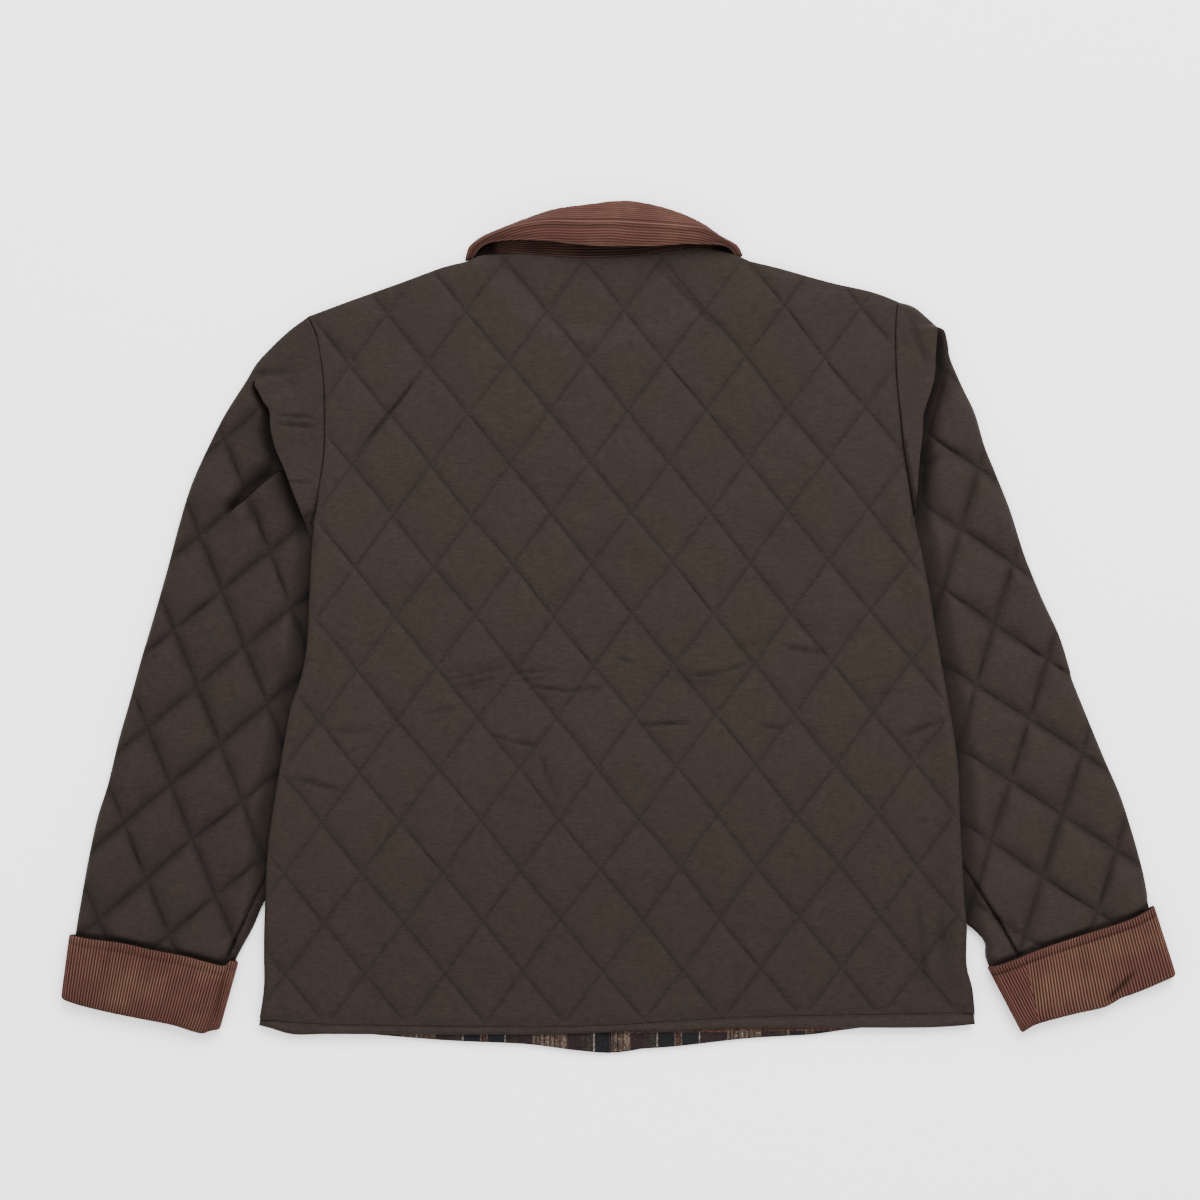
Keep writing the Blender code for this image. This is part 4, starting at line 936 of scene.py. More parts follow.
def make_sleeve(side, data):
    """One sleeve: outline, upper and lower side, the hollow inside it, and its stitches."""
    outer, inner = curve(data["outer"], 4.0), curve(data["inner"], 4.0)
    tuck = np.vstack([tucked_edge(side), inner[:1]])
    armhole = lines["armhole_" + side]
    wrist = straight([outer[-1], inner[-1]], 5.0)
    outline = np.vstack([outer[:-1], wrist[:-1], inner[::-1], tuck[-2::-1], armhole[-2:0:-1]])
    count = len(outline)
    wrist_end = len(outer) + len(wrist) - 2
    open_spans = [*range(len(outer) - 1, wrist_end),
                  *range(wrist_end + len(inner) + len(tuck) - 2, count)]
    if side == "right":
        outline = outline[::-1]
        open_spans = sorted((count - 2 - i) % count for i in open_spans)
    outline = offset(outline, 0.5 * SEAM, True)
    free_edge = np.vstack([outer[:-1], wrist, inner[::-1], tuck[::-1]])
    body = back_edge(0.0)
    cuff = cuff_outline(side)
    standing = [Fold(*row) for row in data["standing"]]
    ridge = standing[0].line
    seam = curve(data["seam"], 3.0)
    quilt = Diamonds(data["diamonds"], 11 if side == "left" else 17)

    def outwards(p, line):
        """Distance to a line, positive on the side away from the body."""
        return signed(p, line)[0] * data["outward"]

    def head(p):
        """1 on the smooth cloth between the armhole and the fold."""
        return (1 - soft(outwards(p, ridge), 4.0, 15.0)) * soft(p[:, 1], 60, 110)

    def top(p):
        away, smooth, gone = reach(p, free_edge), head(p), outside(p, body)
        puff = quilt.rise(p, *SLEEVE_PUFF) * soft(away, -6.0, 10.0)
        full = SLEEVE_WALL + puff * (1 - 0.85 * smooth)
        full += 1.2 * smooth + creased(p, data["folds"])
        for fold in standing:
            full += fold.height(p)
        seam_away, along, length, _ = signed(p, seam)
        outer_share = np.where(seam_away * data["outward"] < 0, 0.2, 1.0)
        pinch = soft(along, 0, 8) * (1 - soft(along, length - 2, length))
        full += pinch * (1.3 * peak(np.abs(seam_away), 3.5, 3.0) * outer_share
                         - 3.2 * peak(seam_away, 0, 1.1))
        full += uneven(p, SLEEVE_UNEVEN)
        # Down to the cuff's mouth, and down beside the body, with a swelling past it.
        full += (6.0 - full) * (1 - soft(outside(p, cuff), 0.5, 5.5))
        beside = (1 - soft(gone, 1.0, 17.0)) * soft(p[:, 1], UNDERARM + 38, UNDERARM + 12)
        full += 1.6 * peak(gone, 20, 9.0) * soft(p[:, 1], UNDERARM + 38, UNDERARM)
        full += (5.0 - full) * beside
        full = np.maximum(full, FOLD_FLOOR)
        under_back = within(p, body) & (p[:, 1] < UNDERARM + 40)
        full = np.where(under_back, np.minimum(full, UNDER_BACK), full)
        seamed = 0.8 + 0.2 * roll(reach(p, armhole), 1.0)
        rounded = np.where((outside(p, cuff) < 0.01) | under_back, 1.0,
                           np.minimum(roll(away, 4.5), seamed))
        return SLEEVE_SIDE + (full - SLEEVE_SIDE) * rounded

    def shade(p):
        """Shade in the grooves and creases, beside the body and the cuff, in the recesses and the
        seam, and a little painted shade over all of the left sleeve.
        """
        dark = 0.36 * quilt.nearness(p, 3.6) * (1 - head(p)) + (0.10 if side == "left" else 0.0)
        beside_body = 1 - soft(outside(p, body), 0.0, 18.0)
        dark += 0.5 * beside_body * soft(p[:, 1], UNDERARM + 60, UNDERARM)
        dark += 0.45 * (1 - soft(outside(p, cuff), 0.0, 5.0))
        dark += 0.13 * creased(p, data["folds"], 0.0, 1.0, 0.3)
        dark += (0.9 - dark) * 0.92 * np.maximum.reduce([fold.shade(p) for fold in standing])
        return dark + 0.5 * peak(signed(p, seam)[0], 0, 1.2)

    def lean(p):
        return sum(fold.shift(p) for fold in standing)

    def bottom(p):
        away = reach(p, free_edge)
        rest = 2.3 * (1 - soft(outside(p, cuff), 1.6, 15.0))
        return rest + (1.8 - np.minimum(rest, 1.8)) * (1 - roll(away, 3.0))

    def floor(p):
        return 3.2 + 1.2 * (1 - soft(outside(p, cuff), 0.0, 40.0))

    def roof(p):
        return floor(p) + 0.6

    # The inside follows the outline, but reaches it where the sleeve is open.
    hollow = offset(outline, HOLLOW_INSET, True)
    open_set = set(open_spans)
    for i in range(count):
        before, after = (i - 1) % count in open_set, i in open_set
        if before and after:
            hollow[i] = outline[i]
        elif before or after:
            ahead = outline[(i + 1) % count] - outline[i]
            back_way = outline[i - 1] - outline[i]
            ahead, back_way = ahead / np.linalg.norm(ahead), back_way / np.linalg.norm(back_way)
            corner = outline[i] + HOLLOW_INSET * (ahead if after else back_way)
            if ahead @ back_way < -0.6:
                corner = corner + hollow[i] - outline[i]
            hollow[i] = corner
    spots = standing[0].rows()
    for fold in standing[1:]:
        spots = kept_apart(spots, fold.rows(), 0.4)
    spots = kept_apart(spots, np.vstack([offset(seam, gap) for gap in SEAM_ROWS]), 0.5)
    spots = clear_of(spots, outline, 1.5)
    spots = kept_apart(spots, rings(outline, (0.5, 1.2, 2.2, 3.6, 5.4)), 0.8)
    spots = kept_apart(spots, quilt.beside(outline, 2.0, STITCH_ROWS, 1.5), 0.8)
    spots = kept_apart(spots, quilt.spots(outline, CELL_PARTS, 5.8), 1.4)
    under = kept_apart(rings(outline, (1.0, 3.0)), plain_grid(outline, 14.0, 6.0), 3.0)
    cloth = Cloth()
    over = cloth.sheet(outline, spots, top, lean, shade)
    below = cloth.sheet(outline, under, bottom)
    inner_spots = plain_grid(hollow, 40.0, 12.0)
    inner_over = cloth.sheet(hollow, inner_spots, roof)
    inner_below = cloth.sheet(hollow, inner_spots, floor)
    closed = [i for i in range(count) if i not in open_set]
    cloth.strip(over, below, closed)
    cloth.strip(inner_over, inner_below, closed)
    cloth.strip(over, inner_over, open_spans)
    cloth.strip(below, inner_below, open_spans)
    for i in range(count):
        if ((i - 1) % count in open_set) != (i in open_set):
            cloth.faces.append([over[i], inner_over[i], inner_below[i], below[i]])
    sleeve = cloth.finish(f"sleeve_{side}_cloth", shell_cotton, 75)
    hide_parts("sleeve_" + side)
    runs = []
    for run in quilt.lines(outline, 3.0):
        ok = (outside(run, cuff) > 1.0) & ~within(run, body) & (top(run) > FOLD_FLOOR + 0.1)
        ok &= ~((outwards(run, ridge) < 4.0) & (run[:, 1] > 75))
        runs += [part + lean(part) for part in kept_runs(run, ok)]
    sew(f"sleeve_{side}_quilting", runs, lambda p: top(p) + 0.05)


for side, data in SLEEVES.items():
    make_sleeve(side, data)

# ---- Cuffs -----------------------------------------------------------------------------
# Red-brown corduroy bands, turned back over the ends of the sleeves. The ribs, eleven to
# the inch, run along the arm. A row of stitching holds the turned-in free edge.
RIB = 2.3               # from one rib to the next
CUFF_TOP = 13.0
RIB_PARTS = 6           # mesh points from one rib to the next
CUFF_INSIDE_SHADE = 0.6
CUFF_CREASES = {
    "left": [(-322, -284, -330, -322, 1.0, 2.0), (-420, -268, -414, -300, 0.5, 6.0)],
    "right": [(422, -282, 398, -306, 2.4, 2.4), (330, -290, 350, -300, 0.6, 6.0)]}

corduroy, tree, shader, coords = new_material("corduroy_pile", 0.9, 0.05)
on_ribs = coords.outputs["UV"]
across_ribs = node(tree, "ShaderNodeSeparateXYZ", {0: on_ribs}).outputs[0]
crest = maths(tree, "COSINE", maths(tree, "MULTIPLY", across_ribs, 2 * math.pi))
pile = noise(tree, drawn_out(tree, on_ribs, 2.2, 0.35), 1.6, 4.0, 0.65)
worn = use(tree, patches, Vector=coords.outputs["Object"], Size=0.03, Fine_size=0.0011)
broad_wear, fine_wear = worn.outputs
# The ribs' tops: red-brown, or tan where they are faded.
faded = maths(tree, "ADD", maths(tree, "MULTIPLY_ADD", broad_wear, 3.0, -1.05),
              painted(tree, "tanned"))
pile_top = mixed(tree, faded, (0.073, 0.0312, 0.0245), (0.092, 0.0480, 0.0300))
# How much of the pile's top shows, from the bottom of a groove to the top of a rib.
upright = maths(tree, "MULTIPLY_ADD", crest, 0.5, 0.5)
evened = maths(tree, "MULTIPLY_ADD", painted(tree, "flattened"),
               maths(tree, "SUBTRACT", 0.75, upright), upright)
base = mixed(tree, maths(tree, "MAXIMUM", upright, evened), (0.0115, 0.0048, 0.0040), pile_top)
# Lighter on the collar's crease and free edge: partly wear, partly a painted highlight.
base = mixed(tree, painted(tree, "rubbed"), base, (0.125, 0.066, 0.048))
light = maths(tree, "MULTIPLY_ADD", broad_wear, 0.3,
              maths(tree, "MULTIPLY_ADD", fine_wear, 0.35, 0.4))
light = maths(tree, "MULTIPLY_ADD", pile, 0.55, light)
streaks = noise(tree, drawn_out(tree, on_ribs, 0.8, 0.05), 1.0, 2.0)
light = maths(tree, "MULTIPLY", light, maths(tree, "MULTIPLY_ADD", streaks, 0.6, 0.7))
# Painted shade, read from the points, darkens the corduroy.
light = maths(tree, "MULTIPLY", light,
              maths(tree, "MULTIPLY_ADD", painted(tree, "shaded"), -0.95, 1.0))
tint(tree, shader, base, light)
shader.inputs["Sheen Weight"].default_value = 0.05
shader.inputs["Sheen Roughness"].default_value = 0.35
shader.inputs["Sheen Tint"].default_value = (0.55, 0.3, 0.22, 1.0)
ribbed = maths(tree, "MULTIPLY_ADD", fine_wear, 0.6, maths(tree, "MULTIPLY", crest, 0.5))
bump(tree, shader, ribbed, 0.5, 0.0003)


def corners(mesh):
    """The number of the point at each corner of the faces."""
    corner = np.empty(len(mesh.loops), int)
    mesh.loops.foreach_get("vertex_index", corner)
    return corner


def lay_map(mesh, name, u, v):
    """A UV map from two values at each corner of the faces."""
    uv = mesh.uv_layers.new(name=name)
    uv.data.foreach_set("uv", np.ravel(np.column_stack([u, v])).astype(np.float32))


def ribbed_skin(name, places, ribs, lengths, closed):
    """A piece of corduroy through rows of places, with rib number and length as its map.

    The rows close round. So do the columns where closed is true; otherwise the first and
    the last one are the piece's two ends.
    """
    rows, columns = ribs.shape
    index = np.arange(rows * columns).reshape(rows, columns)
    r, c = np.meshgrid(np.arange(rows), np.arange(columns if closed else columns - 1),
                       indexing="ij")
    r2, c2 = (r + 1) % rows, (c + 1) % columns
    faces = np.stack([index[r, c], index[r, c2], index[r2, c2], index[r2, c]], -1).reshape(-1, 4)
    ends = [] if closed else [list(index[:, 0]), list(index[::-1, -1])]
    mesh = bpy.data.meshes.new(name)
    mesh.from_pydata(places.reshape(-1, 3) * MM, [], faces.tolist() + ends)
    corner = corners(mesh)
    u = ribs.reshape(-1)[corner]
    if closed:  # the rib numbers start again at the last column
        u = u.reshape(-1, 4)
        jump = u - u[:, :1]
        u = np.ravel(u - np.round(jump) * (np.abs(jump) > 3))
    lay_map(mesh, "ribs", u, lengths.reshape(-1)[corner])
    return finished(name, mesh, corduroy)


def loop_of(width, low, high, side_round, share):
    """A flattened loop: place across, height and direction at shares of its way round, and
    its whole length."""
    middle, half = (high + low) / 2, (high - low) / 2
    flat = width - 2 * side_round
    bend = 0.5 * math.pi * (side_round + half)
    total = 2 * flat + 2 * bend
    s = share * total
    across, height = np.empty(len(s)), np.empty(len(s))
    normal = np.zeros((len(s), 2))
    top = s < flat
    across[top], height[top] = side_round + s[top], high
    normal[top] = (0, 1)
    right = (s >= flat) & (s < flat + bend)
    turn = (s[right] - flat) / bend * math.pi
    across[right] = width - side_round + side_round * np.sin(turn)
    height[right] = middle + half * np.cos(turn)
    normal[right] = np.column_stack([np.sin(turn), np.cos(turn)])
    under = (s >= flat + bend) & (s < 2 * flat + bend)
    across[under], height[under] = width - side_round - (s[under] - flat - bend), low
    normal[under] = (0, -1)
    left = s >= 2 * flat + bend
    turn = (s[left] - 2 * flat - bend) / bend * math.pi
    across[left] = side_round - side_round * np.sin(turn)
    height[left] = middle - half * np.cos(turn)
    normal[left] = np.column_stack([-np.sin(turn), -np.cos(turn)])
    return across, height, normal, total


def cuff_seam(down):
    """Where the right cuff's seam lies across it, at a distance from its free edge."""
    return 0.78 + 0.10 * down / 58


def band_relief(side, u, down):
    """Small dents of the turned-back band: its stitched row, and the seam on the right."""
    lift = -(0.5 if side == "left" else 1.0) * peak(down, 7.0, 0.9)
    lift += 0.5 * peak(down, 3.5, 2.2)
    lift = lift + 0.35 * np.sin(u * 17 + 1) * peak(down, 30, 22)
    if side == "right":
        lift -= 0.6 * peak(u, cuff_seam(down), 0.005)
    return lift


def band_shade(side, u, down, place):
    """Painted shade under the stitched row, along the free edge and in the creases, a little over
    all of the left band, and on the right band more near one end and less elsewhere.
    """
    right = side == "right"
    dark = (0.6 if right else 0.2) * peak(down, 7.2, 0.7)
    dark += (0.16 if right else 0.05) * (1 - soft(down, 5.5, 7.5))
    dark += 0.12 * peak(u, 0.92, 0.12) - 0.06 if right else 0.06
    return dark + 0.28 * creased(place, CUFF_CREASES[side], 0.0, 1.0)


def band_tan(side, u, down):
    """How tan the band is: on the right up to its seam, on the left less at its far end."""
    if side == "left":
        return -0.5 * soft(u, 0.84, 0.94)
    seam = cuff_seam(down)
    tan = 0.42 - 1.1 * soft(u, seam - 0.02, seam + 0.02)
    tan -= 0.6 * peak(u, 0.16, 0.2) * soft(down, 24, 48)
    return tan - 0.7 * (1 - soft(down, 5.5, 7.5))


def leaning(u, down):
    """Ribs run with the near side of the right cuff and meet at its seam."""
    return np.where(u < cuff_seam(down), -0.36 * u, 0.04 * (1 - u)) * down / RIB


def make_cuff(side, rows):
    """A tube of corduroy, made of rings from the free edge over the fold to its inside."""
    free, fold = cuff_edges(side, 200)
    width = 0.5 * (np.linalg.norm(free[0] - free[-1]) + np.linalg.norm(fold[0] - fold[-1]))
    depth = np.linalg.norm(free - fold, axis=1).mean()
    count = round(loop_of(width, 0.0, CUFF_TOP, 4.0, np.zeros(1))[3] / RIB)
    share = np.arange(count * RIB_PARTS) / (count * RIB_PARTS)
    outward = -1 if side == "right" else 1
    places, ribs, lengths, shades, tans = [], [], [], [], []

    def ring(v, low, high, side_round, inset, rib_depth, shift=0.0):
        """One ring at a share of the way down, between two heights."""
        across, height, normal, _ = loop_of(width - 2 * inset, low, high, side_round, share)
        u, down, over = (across + inset) / width, v * depth, normal[:, 1] > 0.5
        start, end = [np.column_stack([np.interp(u, np.linspace(0, 1, 200), edge[:, k])
                                       for k in (0, 1)]) for edge in (free, fold)]
        way = end - start
        way /= np.linalg.norm(way, axis=1)[:, None]
        place = start * (1 - v) + end * v + way * shift
        number = share * count
        if side == "right":
            number = number + np.where(over, leaning(u, down), 0.0)
        crest = np.cos(2 * math.pi * number)
        bulge = rib_depth * (crest - 1) * np.where(normal[:, 1] < -0.5, 0.4, 1.0)
        lift = np.zeros(len(u))
        if rib_depth:
            lift = 0.3 * np.sin(u * 9 + v * 3) + band_relief(side, u, down)
            lift = np.where(over, lift + creased(place, CUFF_CREASES[side]), 0)
        side_way = np.column_stack([-way[:, 1], way[:, 0]]) * outward
        place = place + side_way * (normal[:, 0] * bulge)[:, None]
        z = height + normal[:, 1] * bulge + lift
        places.append(np.column_stack([place, np.maximum(z, 0.0)]))
        ribs.append(number)
        lengths.append(np.full(len(u), down / RIB))
        # Painted shade of the band, with a little more towards the fold.
        dark = band_shade(side, u, down, place) + 0.18 * soft(v, 0.9, 1.0)
        shades.append(np.where(over, dark, 0.0) if rib_depth
                      else np.full(len(u), CUFF_INSIDE_SHADE))
        tans.append(band_tan(side, u, down))

    # Each ring: share of the way down, lower and upper height, rounding of its sides, inset,
    # depth of the ribs, and shift along the arm.
    ring(0.0, 1.0, CUFF_TOP - 1.6, 3.0, 1.2, 0.12, 0.1)
    ring(0.0, 0.3, CUFF_TOP - 0.3, 3.6, 0.4, 0.25, 0.5)
    for n in range(rows):
        v = 0.03 + 0.93 * n / (rows - 1)
        ring(v, 0.0, CUFF_TOP - 1.6 * soft(v, 0.8, 1.0), 4.0, 0.0, 0.3)
    ring(0.985, 0.3, CUFF_TOP - 2.6, 3.8, 0.5, 0.25)
    ring(1.0, 1.4, CUFF_TOP - 4.4, 3.0, 1.3, 0.15)
    ring(1.0, 3.6, 6.2, 1.2, 2.2, 0.0)
    ring(0.975, 4.4, 5.0, 0.3, 3.0, 0.0)
    for v, shift in ((0.84, 0.0), (0.4, 0.0), (0.0, 0.5)):
        ring(v, 2.0, 8.1, 1.0, 3.0, 0.0, shift)
    cuff = ribbed_skin(f"cuff_{side}_cloth", np.array(places), np.array(ribs), np.array(lengths),
                       True)
    paint(cuff.data, shaded=np.clip(shades, 0, 1), tanned=tans)
    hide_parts("cuff_" + side)


make_cuff("left", 40)
make_cuff("right", 56)

# ---- Collar ----------------------------------------------------------------------------
# The turned-down collar of the same corduroy, its ribs along its length. The fall stands
# off the back; from its free edge it climbs to a crease and runs on to the fold line.
LEAF = 3.0              # thickness of the fall
TOP_RIB = 1.75          # from one rib to the next above the crease, as it shows
TURN_UNDER = 22.0       # how far the fold line turns in underneath
# The crease's painted highlight and painted shade, with its wear, fade out between these distances
# from the middle.
CREASE_MARK_END = (62.0, 92.0) # where the wear of the crease starts to end, and ends
COLLAR = [  # edge x, y; fold line x, y; edge height; share and height of the crease
    (-118.5, 301.2, -125.5, 299.8, 6.5, 0.50, 7.5),
    (-114, 308, -122.5, 311, 10.0, 0.50, 11.5),
    (-107, 312.5, -112, 319.5, 13.0, 0.55, 14.5),
    (-95, 314.5, -99, 325.0, 15.5, 0.70, 18.0),
    (-80, 315.0, -80, 332.5, 17.0, 0.70, 21.0),
    (-57, 314.0, -53, 341.5, 17.5, 0.60, 22.5),
    (-30, 310.8, -25, 345.5, 18.0, 0.55, 23.0),
    (0, 309.8, 4, 348.5, 18.0, 0.52, 23.0),
    (28, 310.0, 29, 345, 18.0, 0.52, 23.0),
    (54, 311.6, 52, 338, 17.5, 0.56, 22.0),
    (72, 311.5, 70, 329.5, 16.5, 0.70, 20.0),
    (85, 311.0, 83, 320.5, 14.0, 0.70, 17.0),
    (91.5, 308.0, 97.5, 312.5, 10.0, 0.50, 11.5),
    (95.0, 303.4, 102, 303.6, 6.5, 0.50, 7.5)]


def spread_rows(rows, count):
    """Table rows read at evenly spread places."""
    rows = np.asarray(rows, float)
    gone = along_line(rows[:, :2])
    want = np.linspace(0, gone[-1], count)
    k = np.clip(np.searchsorted(gone, want, side="right") - 1, 0, len(rows) - 2)
    t = ((want - gone[k]) / (gone[k + 1] - gone[k]))[:, None]
    near = [rows[np.clip(k + n, 0, len(rows) - 1)] for n in (-1, 0, 1, 2)]
    return between(*near, t)


def collar_section(row, outer_count, inner_count):
    """Skin of the fall, from its free edge over the fold line and back underneath."""
    edge, arch = row[:2], row[2:4]
    low, crease, high = row[4:7]
    width = np.linalg.norm(arch - edge)
    way = (arch - edge) / width
    bend = 0.45 * high
    turn = min(TURN_UNDER, width - 0.4)
    half_way = 0.5 + 0.5 * crease
    outer = [(-0.2, low - 0.5 * LEAF), (0.25, low - 0.3), (1.4, low + 0.35)]
    outer += [(share * width, z) for share, z in (
        (0.5 * crease, low + 0.68 * (high - low)), (crease - 0.05, high - 0.25), (crease, high),
        (crease + 0.05, high - 0.2), (half_way, 0.5 * (high + bend) + 1.2),
        (0.95, bend + 0.22 * (high - bend)), (1.0, bend), (0.985, 0.18 * high))]
    outer = np.array(outer + [(width - 2.0, 0.0), (width - turn, 0.0)])
    room = width - LEAF
    inner = [(0.4, low - LEAF + 0.3), (0.5 * crease * room, low + 0.65 * (high - low) - LEAF),
             (crease * room, high - LEAF), (half_way * room, 0.5 * (high + bend) + 1.0 - LEAF),
             (room, bend), (room, 0.5 * (bend + LEAF)), (room - 0.5, LEAF - 0.4),
             (width - turn, LEAF - 0.6)]
    apart = np.linalg.norm(np.diff(outer, axis=0), axis=1) > 0.15
    skin, want = spread(straight(outer[np.concatenate([[True], apart])], 0.6), outer_count)
    for _ in range(3):
        skin[1:-1] = 0.25 * skin[:-2] + 0.5 * skin[1:-1] + 0.25 * skin[2:]
    along = np.gradient(skin, axis=0)
    along /= np.linalg.norm(along, axis=1)[:, None] + 1e-9
    normal = np.column_stack([-along[:, 1], along[:, 0]])
    # Rib numbers: by length below the crease, by what shows above it, by length underneath.
    top = skin[:, 0].argmax()
    crease_at = np.interp(crease * width, skin[:top + 1, 0], want[:top + 1])
    above = np.maximum((skin[:, 0] - crease * width) / TOP_RIB, 0)
    number = np.where(want > crease_at, above, (want - crease_at) / RIB)
    number[top:] = number[top] + (want[top:] - want[top]) / RIB
    back, _ = spread(straight(np.array(inner)[::-1], 1.0), inner_count)
    return edge, way, skin, normal, number, back, want, want - crease_at


def make_collar():
    columns, outer_count, inner_count = 110, 330, 26
    places = np.empty((outer_count + inner_count, columns, 3))
    ribs, lengths, rubbed, shaded = np.zeros((4, outer_count + inner_count, columns))
    # The underside of the fall is painted in full shade.
    shaded[outer_count:] = 1.0
    for n, row in enumerate(spread_rows(COLLAR, columns)):
        edge, way, skin, normal, number, back, want, beyond = collar_section(
            row, outer_count, inner_count)
        # The ribs jump a little at the seam in the middle, and wander.
        number = number + 0.15 * soft(row[0], -4.0, 0.0) + 0.12 * math.sin(row[0] / 9.0)
        push = 0.15 * (np.cos(2 * math.pi * number) - 1) * soft(want, 0.3, 2.0)
        push -= 0.25 * peak(row[0], -2.0, 1.6)
        push *= np.where(skin[:, 1] < 1.2, 0.0, 1.0)
        both = np.vstack([skin + normal * push[:, None], back])
        both[:, 1] = np.maximum(both[:, 1], 0.0)
        places[:, n, :2] = edge + both[:, :1] * way
        places[:, n, 2] = both[:, 1]
        ribs[:outer_count, n] = number
        ribs[outer_count:, n] = number[-1] + np.arange(inner_count) * 0.5
        lengths[:, n] = row[0] / RIB
        # Lighter on the crease and beside the free edge: partly wear, partly a painted highlight.
        middle = 1 - soft(abs(row[0] + 8.0), *CREASE_MARK_END)
        rubbed[:outer_count, n] = 0.45 * middle * peak(beyond, 0, 0.8) + 0.25 * peak(want, 2.4, 1.3)
        # Painted shade all over, and more beside the crease, at the free edge, below the crease,
        # towards the ends and above the crease.
        shaded[:outer_count, n] = (
            0.13 + 0.45 * middle * peak(beyond, 2.0, 0.9) + 0.9 * (1 - soft(want, 0.6, 1.8))
            + 0.25 * (1 - soft(want, 2.0, 9.0))
            + 0.25 * middle * (1 - soft(np.abs(beyond + 3.5), 0.6, 2.2))
            + 0.2 * (1 - middle) * soft(want, 2.0, 4.0) + 0.08 * soft(beyond, 0.0, 3.0))
    collar = ribbed_skin("collar_cloth", places, ribs, lengths, False)
    paint(collar.data, rubbed=rubbed, shaded=np.clip(shaded, 0, 1),
          flattened=np.full(ribs.shape, 0.45), tanned=np.full(ribs.shape, -0.5))
    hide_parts("collar")


make_collar()

# ---- Collar stand ----------------------------------------------------------------------
# The band of corduroy that climbs from the neck seam to the inside of the fall. It lies in
# the fall's shadow.
STAND = [  # x, seam y, upper edge y, its height
    (-117, 303.2, 306.6, 2.9), (-113, 304.4, 310.0, 2.9), (-107, 305.3, 316.3, 4.0),
    (-97, 306.2, 317.5, 9.7), (-80, 306.6, 323, 13.8), (-57, 305.0, 328, 16.1),
    (-30, 303.6, 330, 16.2), (9, 304.7, 330, 16.3), (44, 309.7, 326, 16.2),
    (58, 311.5, 323, 14.8), (70, 311.3, 319, 13.0), (80, 309.6, 315.5, 7.0),
    (88, 307.5, 312.2, 3.6), (92.5, 306.2, 308.6, 2.9), (96, 304.7, 306.8, 2.9)]
STAND_THICK = 2.4


def make_stand():
    x, seam_y, edge_y, top = spread_rows(STAND, 90).T
    neck = curve(BACK_NECK, 2.0)
    seam_y = np.interp(x, neck[:, 0], neck[:, 1]) + 0.1
    low = back_under(np.column_stack([x, seam_y - 1.0]))
    places, ribs = [], []
    for outer, shares in ((1, np.linspace(0, 1, 40)), (0, np.linspace(1, 0, 8))):
        for share in shares:
            climbed = np.interp(share, [0, 0.35, 1], [0, 0.15, 1])
            number = outer * share * (edge_y - seam_y).max() / RIB
            z = low + outer * STAND_THICK + (top - low) * climbed
            z = z + 0.18 * (math.cos(2 * math.pi * number) - 1)
            places.append(np.column_stack([x, seam_y + (edge_y - seam_y) * share, z]))
            ribs.append(np.full(len(x), number))
    places, ribs = np.array(places), np.array(ribs)
    # It lies in shade, deepest in the hollows beside the neck; its foot is lighter.
    across = places[:, :, 0]
    in_hollow = np.maximum(soft(-across, 86, 104), soft(across, 62, 80))
    dark = np.maximum(0.70 + 0.12 * soft(across, -60, -10), in_hollow)
    dark[0] = 0.25 + 0.75 * in_hollow[0]
    stand = ribbed_skin("collar_stand_cloth", places, ribs, across / RIB, False)
    paint(stand.data, shaded=dark)
    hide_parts("collar_stand")


make_stand()

# ---- Fronts ----------------------------------------------------------------------------
# The two fronts lie face down on the floor under the back, quilted like it. Where they lap,
# the left one lies on the right one. Their hems are longer than the back's. Only their lower
# side shows, from below.
FRONT_HEM = np.array([
    (-291, -322), (-266, -331), (-212, -333.5), (-193, -334.8), (-154, -338), (-120, -340),
    (-93, -341), (-70, -342.5), (-38, -346.8), (-30, -347.5), (-7, -349.3), (13, -347),
    (18, -346), (46, -344), (85, -339.5), (109, -337), (144, -335), (162, -333.7), (188, -330),
    (206, -328), (245, -325.5), (272, -324), (289, -321)], float)
HEM_THICK = 3.0
LAP_EDGES = {"left": -6.0, "right": -30.0}      # x of the front edges
COLLAR_LEAF = 2.2       # thickness of the collar's ends
LEAF_SHAPE = np.array([
    (1, 222), (58, 150), (100, 176), (128, 215), (138, 258), (121, 294), (104, 296), (96, 288),
    (80, 272), (46, 256), (1, 250)], float)     # from the centre of the neck, y
front_hem = curve(FRONT_HEM, 8.0)
front_neck = curve(FRONT_NECK, 8.0)


def leaf_outline(sign):
    """The front end of the collar on one side."""
    points = LEAF_SHAPE * (sign, 1) + (MIDDLE, 0)
    return points if sign > 0 else points[::-1]


leaves = [leaf_outline(-1), leaf_outline(1)]


